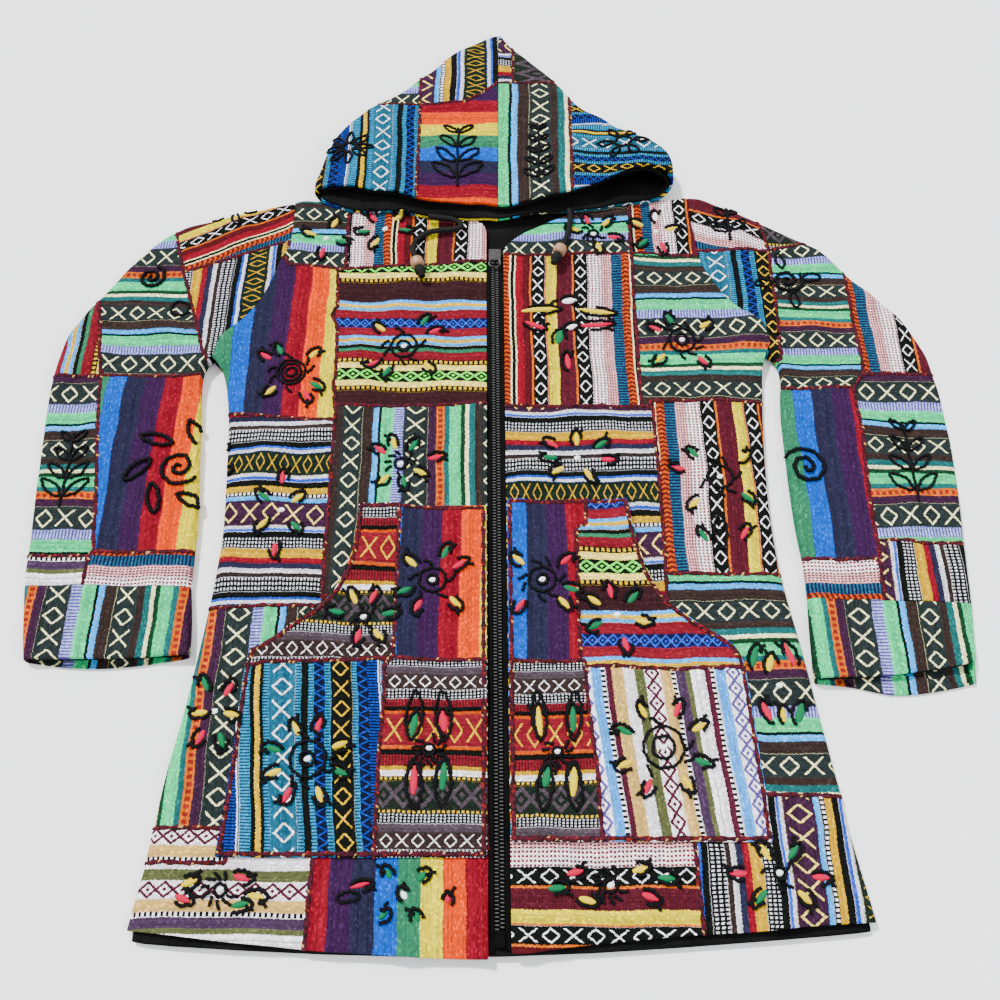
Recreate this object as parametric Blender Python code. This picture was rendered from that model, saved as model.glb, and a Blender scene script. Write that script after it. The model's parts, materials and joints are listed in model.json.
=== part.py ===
"""A long hooded jacket of striped cotton patchwork with a black fleece lining.

It lies flat on its back with the front up, the zip closed, the sleeves beside the body and the
hood spread above the neck. Left and right are as someone sees them who looks down at the front
with the hem nearest.

Sizes are in millimetres. A plan place is (u, v): u runs across from the zip line and v runs up
from the hem. Heights are above the floor. Tables of outlines give u as a distance out from the
zip line, so that both halves share their code.
"""

import math

import bmesh
import bpy
from mathutils import Vector

MM = 0.001
CENTRE_V = 510.0  # plan height of the world origin, halfway from hem to hood peak

CLOTH = 3.0  # patchwork cotton with the fleece felted to it
SEAM = 0.3  # gap between two pieces at a seam
CLEAR = 0.5  # gap between two pieces that lie on each other
BODY_HEIGHT = 11.6  # two walls with the lining between them
SLEEVE_HEIGHT = 10.6
SIDE_HEIGHT = 6.6  # top of a front where it turns down to the side seam
TURN = 16.0  # how far in from an edge a front turns down
LINING_TOP = BODY_HEIGHT - CLOTH - 0.9
LINING_LOW = CLOTH + SEAM

ZIP_LEAN = (5.0, -6.0 / 740)  # u of the zip at the hem, and its change for each mm up
ZIP_HALF = 9.0  # from the middle of the zip to a front's edge
CHAIN_HALF = 4.3
CHAIN_LOW, CHAIN_TOP = 8.8, 11.4
TAPE_LOW, TAPE_TOP = 8.9, 9.9
ZIP_FOOT, ZIP_HEAD = 20.0, 690.0  # plan heights of the chain's two ends

POCKET_CLOTH = 2.0
POCKET_GAPE = 3.5  # how far a pocket's mouth stands up

HOOD_SEAM_U = 3.0
HOOD_PEAK_V = 1022.0
HOOD_CLOTH = 3.0
HOOD_GAP = 1.6  # between the hood and its lining
HOOD_LINING = 2.5
FOLD_REACH = 10.0  # how far in from the outline the hood's side fold takes up

CORD_RADIUS = 3.2
BEAD_RADIUS = 7.0

# Rows of the side seam, from the hem up: (height, distance out).
# Rows of the armhole, from the underarm up to the shoulder tip: (height, distance out).
# Front hem, fleece hem and top edge: (distance out, height).
LEFT = {
    "name": "left",
    "sign": -1,
    "side": (
        (20, 288), (40, 285), (65, 281), (90, 279), (120, 276), (160, 271),
        (200, 265), (250, 259), (300, 255), (340, 252), (380, 252), (420, 256),
        (460, 258), (490, 261), (512, 265), (530, 269), (543, 274),
    ),
    "armhole": (
        (552, 283), (567, 281), (583, 277), (595, 263), (615, 247), (640, 235),
        (670, 227), (690, 219), (720, 217), (740, 217), (757, 219),
    ),
    "hem": ((4, -1), (55, 0), (95, 3), (142, 5), (175, 9), (215, 12), (255, 17), (288, 20)),
    "fleece_hem": ((0, -1), (15, -2), (55, -1), (142, 2), (215, 3), (255, 5), (288, 13)),
    "top": ((2, 706), (9, 720), (16, 730), (35, 735), (60, 740), (100, 750), (150, 759), (219, 757)),
    "sleeve_outer": (
        (757, 219), (757, 235), (750, 257), (741, 275), (736, 295), (733, 315),
        (729, 330), (722, 342), (712, 354), (704, 365), (690, 375), (674, 383),
        (660, 392), (645, 405), (625, 415), (605, 426), (588, 435), (570, 441),
        (550, 443), (520, 442), (480, 440), (450, 438), (400, 433), (340, 428),
        (310, 426),
    ),
    "sleeve_inner": (
        (552, 283), (547, 289), (540, 293), (520, 292), (490, 288), (460, 285),
        (420, 281), (380, 276), (340, 275), (308, 274),
    ),
    "cuff_outer": ((310, 426), (285, 422), (260, 417), (241, 413)),
    "cuff_inner": ((308, 274), (290, 271), (268, 268), (245, 267)),
    "cuff_sag": 2.0,
    "under_cuff": ((0.0, 1), (0.3, 7), (0.7, 6), (1.0, 1)),
    "pocket_side": (
        (74, 223), (120, 221), (180, 218), (236, 216), (249, 214), (256, 196),
        (272, 176), (288, 155), (304, 141), (325, 132), (350, 128), (388, 126),
    ),
    "hood_width": (
        (735, 197), (760, 199), (780, 201), (805, 196), (830, 191), (850, 185),
        (868, 176), (888, 163), (905, 135), (919, 117), (930, 103), (940, 92),
        (957, 82), (970, 70), (985, 57), (992, 46), (1003, 33), (1016, 17), (1022, 6),
    ),
    # Share of the way out from the middle seam, plan height of the lower lip,
    # plan height of the upper lip, height of the upper lip above the floor.
    "lips": (
        (0.00, 729, 741, 25), (0.20, 731, 744, 26), (0.40, 735, 748, 28), (0.60, 738, 754, 31),
        (0.78, 740, 763, 33), (0.92, 745, 765, 30), (1.00, 759, 763, 26),
    ),
}
RIGHT = {
    "name": "right",
    "sign": 1,
    "side": (
        (26, 301), (50, 297), (75, 293), (100, 289), (125, 287), (160, 282),
        (200, 277), (250, 270), (300, 263), (330, 259), (370, 257), (410, 258),
        (450, 260), (480, 262), (510, 265), (530, 267), (545, 268),
    ),
    "armhole": (
        (558, 272), (575, 280), (595, 272), (607, 262), (618, 247), (635, 235),
        (650, 226), (670, 218), (690, 215), (740, 210), (764, 208),
    ),
    "hem": ((9, 4), (27, 2), (45, 6), (65, 9), (105, 12), (155, 17), (205, 18), (245, 23), (301, 26)),
    "fleece_hem": ((0, -1), (25, 0), (65, 5), (105, 6), (155, 7), (205, 9), (255, 12), (301, 20)),
    "top": ((8, 690), (12, 699), (18, 707), (35, 718), (55, 727), (73, 738), (110, 752), (208, 764)),
    "sleeve_outer": (
        (764, 208), (760, 230), (748, 250), (747, 267), (740, 275), (730, 285),
        (718, 305), (712, 327), (697, 340), (682, 355), (668, 367), (655, 375),
        (643, 383), (625, 405), (607, 415), (595, 427), (580, 434), (550, 437),
        (520, 440), (480, 442), (450, 443), (420, 440), (380, 436), (340, 432),
        (293, 429),
    ),
    "sleeve_inner": (
        (558, 272), (556, 278), (549, 284), (520, 285), (505, 280), (460, 279),
        (400, 278), (360, 279), (325, 282), (297, 281),
    ),
    "cuff_outer": ((293, 429), (275, 427), (256, 424), (238, 421)),
    "cuff_inner": ((297, 281), (270, 279), (245, 278), (223, 277)),
    "cuff_sag": 4.0,
    "under_cuff": ((0.0, 17), (0.25, 19), (0.55, 17), (0.7, 8), (1.0, 2)),
    "pocket_side": (
        (86, 225), (130, 223), (190, 220), (232, 218), (246, 215), (258, 203),
        (268, 185), (280, 165), (296, 150), (318, 139), (345, 131), (394, 123),
    ),
    "hood_width": (
        (735, 180), (766, 190), (783, 193), (800, 194), (812, 192), (821, 187),
        (834, 174), (845, 157), (855, 141), (865, 127), (878, 112), (891, 101),
        (908, 88), (922, 78), (947, 62), (965, 47), (980, 33), (996, 19), (1010, 8), (1022, 4),
    ),
    "lips": (
        (0.00, 729, 741, 25), (0.10, 733, 740, 26), (0.30, 738, 750, 31), (0.50, 744, 758, 37),
        (0.75, 746, 774, 44), (0.88, 752, 782, 45), (0.96, 762, 780, 38), (1.00, 771, 776, 32),
    ),
}
# Shoulder line under the hood, over both halves: (distance out, height).
SHOULDER = ((0, 772), (95, 776), (208, 764), (219, 757))

# Soft raised folds in the laid cloth: from (u, v), to (u, v), rise, half width.
FOLDS = (
    (-262, 560, -185, 520, 2.2, 24),
    (-235, 660, -262, 590, 1.8, 20),
    (-240, 470, -120, 440, 1.4, 30),
    (-262, 230, -250, 60, 1.8, 26),
    (-160, 40, -60, 22, 1.6, 24),
    (-150, 700, -60, 690, 1.6, 26),
    (258, 555, 180, 520, 2.2, 24),
    (240, 640, 262, 585, 2.2, 20),
    (245, 440, 140, 410, 1.4, 30),
    (262, 250, 268, 110, 1.8, 26),
    (285, 60, 215, 34, 3.4, 26),
    (160, 50, 60, 40, 1.6, 24),
    (150, 715, 70, 700, 1.8, 26),
    (-300, 700, -245, 640, 2.4, 22),
    (-400, 610, -330, 560, 2.0, 24),
    (-410, 520, -320, 500, 1.6, 22),
    (-360, 470, -355, 330, 1.6, 30),
    (262, 735, 270, 640, 3.0, 15),
    (330, 690, 300, 600, 2.0, 26),
    (420, 560, 330, 530, 2.2, 24),
    (350, 480, 352, 330, 1.6, 30),
)

# Share out from the zip edge to the side seam of each column of a front's net.
FRONT_COLUMNS = (0, 0.03, 0.12, 0.22, 0.34, 0.46, 0.58, 0.70, 0.80, 0.88, 0.935, 0.965, 0.985, 1)
POCKET_COLUMNS = (0, 0.05, 0.16, 0.30, 0.45, 0.60, 0.75, 0.88, 0.96, 1)
SLEEVE_ROWS = (0, 0.03, 0.08, 0.14, 0.2, 0.28, 0.37, 0.46, 0.55, 0.65, 0.76, 0.88, 1)
CUFF_ROWS = (0, 0.25, 0.5, 0.75, 1)
EDGE_STEPS = (0.0, 0.9, 3.0, 6.5)  # distances in from a flat tube's fold
HOOD_ROWS = (0, 0.03, 0.07, 0.11, 0.15, 0.19, 0.25, 0.33, 0.42, 0.52, 0.62, 0.72, 0.81, 0.89, 0.95, 0.985)
HOOD_COLUMNS = (0, 0.12, 0.26, 0.42, 0.58, 0.74, 0.88)  # shares of the flat part
HOOD_FOLD_STEPS = 4

# Routes of the free cords, from the hood's lower lip to the bead: (u, v, height above the cloth).
LEFT_ROUTE = (
    (-72, 730.6, 6.0), (-58, 729.4, 5.4), (-46, 727.6, 4.6), (-38.5, 723.8, 3.9), (-37, 718.5, 3.8),
    (-44, 714.6, 3.8), (-57, 713, 3.8), (-69, 710.5, 3.8), (-78.5, 704.5, 3.8), (-84.5, 696, 4.2),
    (-87, 685, 5.6), (-84, 674, 7.3),
)
RIGHT_ROUTE = (
    (79.4, 740.8, 5.0), (80.6, 732, 4.2), (79.6, 721, 3.7), (78, 710, 3.8), (75, 700, 4.8), (71, 690, 6.9),
)
# Turned profiles: (distance along, radius).
BEAD_PROFILE = ((0, 4.4), (0.8, 6.0), (2.4, 6.9), (5.5, 7.0), (8.6, 6.9), (10.2, 6.0), (11, 4.4))
KNOT_PROFILE = ((0, 3.6), (1.5, 5.2), (4, 5.9), (7, 5.6), (9, 4.6), (11, 3.6), (13, 3.4))

# The slider's bail and the pull tab's bar.
PLATE_TOP = CHAIN_TOP + SEAM + 1.5
PULL_AXIS_V = 675.5
PULL_WIRE = 0.9
PULL_AXIS_Z = PLATE_TOP + 0.35 + PULL_WIRE
BAIL_CLEAR = 0.35
BAIL_WALL = 1.0
PULL_WIDTH, PULL_LENGTH, PULL_CORNER = 11.7, 9.2, 4.0  # of the wire's middle line


def paint(name, colour, roughness, metallic=0.0):
    """A plain material with these surface values."""
    material = bpy.data.materials.new(name)
    material.use_nodes = True
    shader = material.node_tree.nodes["Principled BSDF"]
    shader.inputs["Base Color"].default_value = (*colour, 1.0)
    shader.inputs["Roughness"].default_value = roughness
    shader.inputs["Metallic"].default_value = metallic
    return material


def world(u, v, z):
    """A plan place and height as a point in metres round the world origin."""
    return Vector((u * MM, (v - CENTRE_V) * MM, z * MM))


def blend(start, end, share):
    return start + (end - start) * share


def ease(share):
    share = min(max(share, 0.0), 1.0)
    return share * share * (3 - 2 * share)


def read(rows, place, column=1):
    """The value at a place in a table whose first column rises, straight between rows."""
    if place <= rows[0][0]:
        return rows[0][column]
    for low, high in zip(rows, rows[1:]):
        if place <= high[0]:
            share = (place - low[0]) / (high[0] - low[0])
            return blend(low[column], high[column], share)
    return rows[-1][column]


def shares_along(chain):
    """The share of a chain's whole length that lies before each of its points."""
    runs = [math.dist(first, second) for first, second in zip(chain, chain[1:])]
    total = sum(runs)
    return [sum(runs[:count]) / total for count in range(len(chain))]


def walk(chain, share):
    """The plan point that lies this share of the way along a chain of points."""
    marks = shares_along(chain)
    return tuple(read([(m, p[axis]) for m, p in zip(marks, chain)], share) for axis in (0, 1))


def zip_middle(v):
    return ZIP_LEAN[0] + ZIP_LEAN[1] * v


def half_of(u, v):
    return LEFT if u < zip_middle(v) else RIGHT


def fold_rise(u, v):
    """How far the soft folds lift the cloth at a plan place."""
    rise = 0.0
    for u0, v0, u1, v1, height, spread in FOLDS:
        run_u, run_v = u1 - u0, v1 - v0
        share = ((u - u0) * run_u + (v - v0) * run_v) / (run_u ** 2 + run_v ** 2)
        share = min(max(share, 0.0), 1.0)
        away = math.hypot(u - u0 - share * run_u, v - v0 - share * run_v)
        rise += height * math.exp(-((away / spread) ** 2))
    return rise


def turn_down(inset):
    """How far a front has turned down at this distance in from its edge."""
    if inset >= TURN:
        return 0.0
    share = 1 - max(inset, 0.0) / TURN
    return (BODY_HEIGHT - SIDE_HEIGHT) * (1 - math.sqrt(1 - share ** 2))


def edge_chain(half):
    """A half's edge from the hem up to the shoulder tip: (height, distance out)."""
    return half["side"] + half["armhole"]


def body_top(u, v):
    """Height of the fronts' upper face at a plan place."""
    half = half_of(u, v)
    out = u * half["sign"]
    underarm = half["armhole"][0][0]
    reach = read(edge_chain(half), v)
    side_fall = turn_down(reach - out) * ease((underarm - v) / 25)
    shoulder_fall = turn_down(read(SHOULDER, out) - v + 2) if out > 120 else 0.0
    rise = fold_rise(u, v) * ease((reach - out) / 25 + ease((v - underarm + 25) / 25))
    return BODY_HEIGHT + rise - max(side_fall, shoulder_fall)


def body_under(u, v):
    return body_top(u, v) - CLOTH


def add_solid(name, points, faces, material):
    """An object made from plan points with heights, its faces turned to look outward."""
    mesh = bpy.data.meshes.new(name)
    mesh.from_pydata([world(*point) for point in points], [], faces)
    form = bmesh.new()
    form.from_mesh(mesh)
    bmesh.ops.remove_doubles(form, verts=form.verts, dist=0.001 * MM)
    bmesh.ops.recalc_face_normals(form, faces=form.faces)
    form.to_mesh(mesh)
    form.free()
    mesh.materials.append(material)
    mesh.shade_smooth()
    mesh.set_sharp_from_angle(angle=math.radians(40))
    piece = bpy.data.objects.new(name, mesh)
    bpy.context.scene.collection.objects.link(piece)
    return piece


def halves_of(first, second, third, fourth):
    """A quad cut from its first corner to its third, so that stacked layers are cut alike."""
    return [(first, second, third), (first, third, fourth)]


def sheet(name, plan, top, under, material):
    """A cloth wall over a net of plan points, with a height function for each face."""
    rows, columns = len(plan), len(plan[0])
    upper = [(u, v, top(u, v)) for row in plan for u, v in row]
    lower = [(u, v, under(u, v)) for row in plan for u, v in row]
    layer = rows * columns
    faces = []
    for row in range(rows - 1):
        for column in range(columns - 1):
            at = row * columns + column
            for start in (at, layer + at):
                faces += halves_of(start, start + 1, start + 1 + columns, start + columns)
    rim = list(range(columns))
    rim += [row * columns + columns - 1 for row in range(1, rows)]
    rim += [(rows - 1) * columns + column for column in range(columns - 2, -1, -1)]
    rim += [row * columns for row in range(rows - 2, 0, -1)]
    for first, second in zip(rim, rim[1:] + rim[:1]):
        faces.append((first, first + layer, second + layer, second))
    return add_solid(name, upper + lower, faces, material)


def slab(name, outline, low, high, material):
    """A flat piece: a plan outline between two heights."""
    count = len(outline)
    points = [(u, v, low) for u, v in outline] + [(u, v, high) for u, v in outline]
    faces = [tuple(range(count)), tuple(range(count, 2 * count))]
    for first in range(count):
        second = (first + 1) % count
        faces.append((first, second, second + count, first + count))
    return add_solid(name, points, faces, material)


def loops_to_faces(count, start, size):
    """Quads between stacked loops of one size, the first loop starting at this vertex."""
    faces = []
    for row in range(count - 1):
        for place in range(size):
            here = start + row * size
            after = (place + 1) % size
            faces += halves_of(here + place, here + after, here + size + after, here + size + place)
    return faces


def stack(name, rings, material):
    """A closed solid through a stack of rings, with flat ends."""
    size = len(rings[0])
    points = [point for ring in rings for point in ring]
    faces = loops_to_faces(len(rings), 0, size)
    faces.append(tuple(range(size)))
    faces.append(tuple(range(len(points) - size, len(points))))
    return add_solid(name, points, faces, material)


def tube(name, outer, inner, material):
    """A tube wall between two stacks of rings, open at both ends."""
    size = len(outer[0])
    points = [point for ring in outer + inner for point in ring]
    layer = len(outer) * size
    faces = loops_to_faces(len(outer), 0, size) + loops_to_faces(len(inner), layer, size)
    for end in (0, layer - size):
        for place in range(size):
            after = (place + 1) % size
            faces.append((end + place, end + after, layer + end + after, layer + end + place))
    return add_solid(name, points, faces, material)


def front_rows(half):
    """Shares of the way from hem to top, one for each point of the half's edge."""
    shares = []
    for height, out in edge_chain(half):
        low, high = read(half["hem"], out), read(half["top"], out)
        shares.append((height - low) / (high - low))
    return shares


def front_place(half, across, share, edge_out):
    """A plan point of a front, this share of the way across and up it."""
    for _ in range(3):
        middle = blend(half["hem"][0][1], half["top"][0][1], share)
        near = half["sign"] * zip_middle(middle) + ZIP_HALF
        out = blend(near, edge_out, across)
    height = blend(read(half["hem"], out), read(half["top"], out), share)
    return half["sign"] * out, height


def make_front(half, material):
    plan = []
    for share, (_, edge_out) in zip(front_rows(half), edge_chain(half)):
        plan.append([front_place(half, across, share, edge_out) for across in FRONT_COLUMNS])
    return sheet("front_" + half["name"], plan, body_top, body_under, material)


def make_back(material):
    """The back panel, flat on the floor, from shoulder to fleece hem."""
    outline = []
    for half in (LEFT, RIGHT):
        hem = [(half["sign"] * out, v) for out, v in half["fleece_hem"] if out > 0]
        edge = [(half["sign"] * out, v) for v, out in edge_chain(half)]
        line = [(half["sign"] * out, v) for out, v in SHOULDER if 0 < out < half["armhole"][-1][1]]
        run = hem[:-1] + edge + line[::-1]
        outline += run if half is RIGHT else run[::-1]
        if half is LEFT:
            outline.append((0, -1))
    outline.append((0, SHOULDER[0][1]))
    return slab("back", outline, 0.0, CLOTH, material)


def lining_top(u, v):
    """Height of the body lining's upper face, which follows the fronts down at their edges."""
    return min(LINING_TOP, body_under(u, v) + LINING_TOP - BODY_HEIGHT + CLOTH)


def lining_shares(half):
    """Shares of the way from fleece hem to shoulder, one for each row of the body lining."""
    shares = [0.0]
    for height, out in edge_chain(half)[:-1]:
        low, high = read(half["fleece_hem"], out), read(SHOULDER, out)
        shares.append((height - low) / (high - low))
    return shares + [0.985, 1.0]


def make_lining(material):
    """The body lining: both fleece layers pressed together, which show at hem and neck."""
    insets = (4.5, 9.0, 16.0)
    edges = []
    for half in (LEFT, RIGHT):
        chain = edge_chain(half)
        edges.append([half["sign"] * out for _, out in [chain[0], *chain, chain[-1]]])
    plan = []
    for left_end, right_end, left, right in zip(*edges, lining_shares(LEFT), lining_shares(RIGHT)):
        places = [left_end + inset for inset in insets]
        places += [blend(left_end + 16, right_end - 16, part) for part in (0.25, 0.5, 0.75)]
        places += [right_end - inset for inset in reversed(insets)]
        row = []
        for u in places:
            half = LEFT if u < 0 else RIGHT
            share = blend(left, right, (u - left_end) / (right_end - left_end))
            low, high = read(half["fleece_hem"], abs(u)) + 0.5, read(SHOULDER, abs(u)) - 4.5
            row.append((u, blend(low, high, share)))
        plan.append(row)
    return sheet("lining", plan, lining_top, lambda u, v: LINING_LOW, material)


def plan_chain(half, rows, shift=(0.0, 0.0)):
    """Rows of (height, distance out) as plan points, moved away from the body by a seam gap."""
    sign = half["sign"]
    return [(sign * (out + shift[0]), height + shift[1]) for height, out in rows]


class SleeveNet:
    """The plan of a sleeve or cuff between its four edges."""

    def __init__(self, head, foot, outer, inner):
        self.head, self.foot, self.outer, self.inner = head, foot, outer, inner

    def place(self, down, across):
        """The plan point this share down the sleeve and across from its outer to its inner edge."""
        head, foot = walk(self.head, across), walk(self.foot, across)
        outer, inner = walk(self.outer, down), walk(self.inner, down)
        point = []
        for axis in (0, 1):
            sides = blend(outer[axis], inner[axis], across)
            ends = blend(head[axis], foot[axis], down)
            top = blend(self.head[0][axis], self.head[-1][axis], across)
            low = blend(self.foot[0][axis], self.foot[-1][axis], across)
            point.append(sides + ends - blend(top, low, down))
        return tuple(point)


def sleeve_net(half):
    shift = (0.4, -0.25)
    head = plan_chain(half, half["armhole"][::-1], shift)
    outer = plan_chain(half, half["sleeve_outer"], shift)
    inner = plan_chain(half, half["sleeve_inner"], shift)
    return SleeveNet(head, [outer[-1], inner[-1]], outer, inner)


def cuff_net(half):
    shift = (0.4, -0.25 - SEAM)
    outer = plan_chain(half, half["cuff_outer"], shift)
    inner = plan_chain(half, half["cuff_inner"], shift)
    middle = tuple((outer[-1][axis] + inner[-1][axis]) / 2 for axis in (0, 1))
    foot = [outer[-1], (middle[0], middle[1] - half["cuff_sag"]), inner[-1]]
    return SleeveNet([outer[0], inner[0]], foot, outer, inner)


def flat_rings(net, downs, columns, height, under_reach=None):
    """Outer and inner rings of a flattened tube wall over a plan net."""
    outer_rings, inner_rings = [], []
    for down in downs:
        width = math.dist(net.place(down, 0), net.place(down, 1))
        edge = [step / width for step in EDGE_STEPS]
        acrosses = edge + list(columns) + [1 - step for step in reversed(edge)]
        rings = {"outer": ([], []), "inner": ([], [])}
        for across in acrosses:
            inset = min(across, 1 - across) * width
            swell = math.sqrt(1 - (1 - min(inset, EDGE_STEPS[-1]) / EDGE_STEPS[-1]) ** 2)
            wall = max(CLOTH * (1 - inset / EDGE_STEPS[-1]), 0.0) / width
            inner_across = across + wall if across < 0.5 else across - wall
            for key, place in (("outer", across), ("inner", inner_across)):
                u, v = net.place(down, place)
                full = height(down) + fold_rise(u, v) * swell
                low = CLOTH if key == "inner" else 0.0
                high = full - low
                middle = height(down) / 2
                v_under = v
                if under_reach:
                    v_under = v - read(under_reach, place) * down
                rings[key][0].append((u, v, blend(middle, high, swell)))
                rings[key][1].append((u, v_under, blend(middle, low, swell)))
        for key, stack_of_rings in (("outer", outer_rings), ("inner", inner_rings)):
            upper, lower = rings[key]
            stack_of_rings.append(upper + lower[-2:0:-1])
    return outer_rings, inner_rings


def sleeve_height(down):
    return blend(BODY_HEIGHT, SLEEVE_HEIGHT, ease(down / 0.3))


def make_sleeve(half, material):
    columns = shares_along(half["armhole"][::-1])[1:-1]
    outer, inner = flat_rings(sleeve_net(half), SLEEVE_ROWS, columns, sleeve_height)
    return tube("sleeve_" + half["name"], outer, inner, material)


def make_cuff(half, material):
    columns = (0.12, 0.25, 0.38, 0.5, 0.62, 0.75, 0.88)
    outer, inner = flat_rings(
        cuff_net(half), CUFF_ROWS, columns, lambda down: SLEEVE_HEIGHT, half["under_cuff"]
    )
    return tube("cuff_" + half["name"], outer, inner, material)


def make_sleeve_lining(half, material):
    """The sleeve's fleece lining, both layers pressed together, down to the cuff's edge."""
    edge_inset, flat_inset = 5.5, 9.0
    low, high = CLOTH + CLEAR, SLEEVE_HEIGHT - CLOTH - CLEAR
    runs = [(sleeve_net(half), down) for down in SLEEVE_ROWS[2:]]
    runs += [(cuff_net(half), down) for down in (0.25, 0.6, 1.02)]
    rings = []
    for net, down in runs:
        width = math.dist(net.place(down, 0), net.place(down, 1))
        sides = [edge_inset / width, flat_inset / width]
        acrosses = sides + [0.25, 0.5, 0.75] + [1 - side for side in reversed(sides)]
        plan = [net.place(down, across) for across in acrosses]
        lift = [1.2] + [0.0] * (len(plan) - 2) + [1.2]
        upper = [(u, v, high - drop) for (u, v), drop in zip(plan, lift)]
        lower = [(u, v, low + drop) for (u, v), drop in zip(plan, lift)]
        rings.append(upper + lower[::-1])
    return stack("sleeve_lining_" + half["name"], rings, material)


def make_pocket(half, material):
    """A patch pocket on a front, from the zip to its slanted mouth, its mouth standing up a little."""
    side = half["pocket_side"]
    mouth_low = side[4][0]

    def reach(v):
        return read(side, v)

    def inset(u, v):
        return reach(v) - u * half["sign"]

    def top(u, v):
        near_mouth = math.exp(-max(inset(u, v), 0.0) / 14) * ease((v - mouth_low) / 30)
        return body_top(u, v) + CLEAR + POCKET_CLOTH + POCKET_GAPE * near_mouth

    def under(u, v):
        return top(u, v) - POCKET_CLOTH

    plan = []
    for v, _ in side:
        near = half["sign"] * zip_middle(v) + ZIP_HALF + 0.6
        plan.append([(half["sign"] * blend(near, reach(v), share), v) for share in POCKET_COLUMNS])
    return sheet("pocket_" + half["name"], plan, top, under, material)


def bed(u, v):
    """Height of what the hood lies on: the fronts, the lining in the neck, then the floor."""
    half = LEFT if u < 0 else RIGHT
    out = abs(u)
    past_front = ease((v - read(half["top"], max(out, 35)) - 12) / 14)
    on_body = blend(BODY_HEIGHT + 1.3 * fold_rise(u, v), LINING_TOP, past_front) + CLEAR
    past_shoulder = ease((v - read(SHOULDER, out) - 8) / 22)
    return blend(on_body, 0.0, past_shoulder)


def hood_section(half, up, shrink, peak):
    """One half's cross line from the middle of its lower face, round the fold, to the top middle.

    shrink is how far the line lies inside the hood's outer face.
    """
    lips = half["lips"]
    points = []
    flat = [("lower", share) for share in HOOD_COLUMNS]
    turn = [("fold", step / HOOD_FOLD_STEPS) for step in range(HOOD_FOLD_STEPS + 1)]
    for where, share in flat + turn + [("upper", share) for share in reversed(HOOD_COLUMNS)]:
        angle = math.pi * (share - 0.5)
        for _ in range(4):
            rough_v = points[-1][1] if points else 740
            width = max(read(half["hood_width"], rough_v) - shrink, 1.0)
            fold = min(FOLD_REACH, 0.4 * width) / width
            if where == "fold":
                out_share = 1 - fold + fold * math.cos(angle)
                raised = 0.5 + 0.5 * math.sin(angle)
            else:
                out_share = share * (1 - fold)
                raised = 0.0 if where == "lower" else 1.0
            mouth = blend(read(lips, out_share, 1), read(lips, out_share, 2), raised)
            v = blend(mouth, peak, up)
            width = max(read(half["hood_width"], v) - shrink, 1.0)
            u = HOOD_SEAM_U + half["sign"] * (out_share * width + SEAM / 2)
            if points and abs(points[-1][1] - v) < 0.01:
                break
        low = bed(u, v) + shrink
        crest = blend(23, 15, up) - 3 * out_share ** 2
        lip_height = read(lips, out_share, 3)
        high = blend(lip_height, crest, ease(up / 0.5)) - 5 * ease((up - 0.9) / 0.1) - shrink
        points.append((u, v, blend(low, max(high, low + 1.0), raised)))
    return points


def hood_face(half, shrink, peak):
    """Rows of cross lines from mouth to peak, and the peak point."""
    rows = [hood_section(half, up, shrink, peak) for up in HOOD_ROWS]
    tip = (HOOD_SEAM_U + half["sign"] * SEAM / 2, peak, 5.0 if shrink == 0 else 7.5)
    return rows, tip


def hood_inner_peak(shrink):
    return HOOD_PEAK_V - 2.4 * shrink


def hood_wall(outer, outer_tip, inner, inner_tip, has_seam):
    """Points and faces of one half's wall between two faces, open at the mouth's inside."""
    size = len(outer[0])
    points = [point for row in outer for point in row] + [outer_tip]
    layer = len(points)
    points += [point for row in inner for point in row] + [inner_tip]
    faces = []
    for start in (0, layer):
        for row in range(len(outer) - 1):
            for place in range(size - 1):
                at = start + row * size + place
                faces += halves_of(at, at + 1, at + 1 + size, at + size)
        last = start + (len(outer) - 1) * size
        for place in range(size - 1):
            faces.append((last + place, last + place + 1, start + layer - 1))
    for place in range(size - 1):
        faces.append((place, place + 1, layer + place + 1, layer + place))
    for place in (0, size - 1) if has_seam else ():
        edge = [row * size + place for row in range(len(outer))] + [layer - 1]
        for first, second in zip(edge, edge[1:]):
            faces.append((first, second, layer + second, layer + first))
    return points, faces


def make_hood_half(half, material):
    outer = hood_face(half, 0.0, HOOD_PEAK_V)
    inner = hood_face(half, HOOD_CLOTH, hood_inner_peak(HOOD_CLOTH))
    points, faces = hood_wall(*outer, *inner, has_seam=True)
    return add_solid("hood_" + half["name"], points, faces, material)


def make_hood_lining(material):
    """The hood's fleece bag, inside both halves and open at the mouth."""
    parts = {"left": [], "right": []}
    for shrink in (HOOD_CLOTH + HOOD_GAP, HOOD_CLOTH + HOOD_GAP + HOOD_LINING):
        peak = hood_inner_peak(shrink)
        left, _ = hood_face(LEFT, shrink, peak)
        right, _ = hood_face(RIGHT, shrink, peak)
        for left_row, right_row in zip(left, right):
            for end in (0, -1):
                joined = tuple((a + b) / 2 for a, b in zip(left_row[end], right_row[end]))
                left_row[end] = right_row[end] = joined
        parts["left"] += [left, (HOOD_SEAM_U, peak, 7.5)]
        parts["right"] += [right, (HOOD_SEAM_U, peak, 7.5)]
    walls = [hood_wall(*parts[side], has_seam=False) for side in ("left", "right")]
    points, faces = walls[0]
    shift = len(points)
    faces = faces + [tuple(shift + corner for corner in face) for face in walls[1][1]]
    return add_solid("hood_lining", points + walls[1][0], faces, material)


def zip_strip(name, near, far, low, high, foot, head, material):
    """A straight strip along the zip, between two distances across from its middle."""
    outline = [
        (zip_middle(foot) + near, foot),
        (zip_middle(foot) + far, foot),
        (zip_middle(head) + far, head),
        (zip_middle(head) + near, head),
    ]
    return slab(name, outline, low, high, material)


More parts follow.
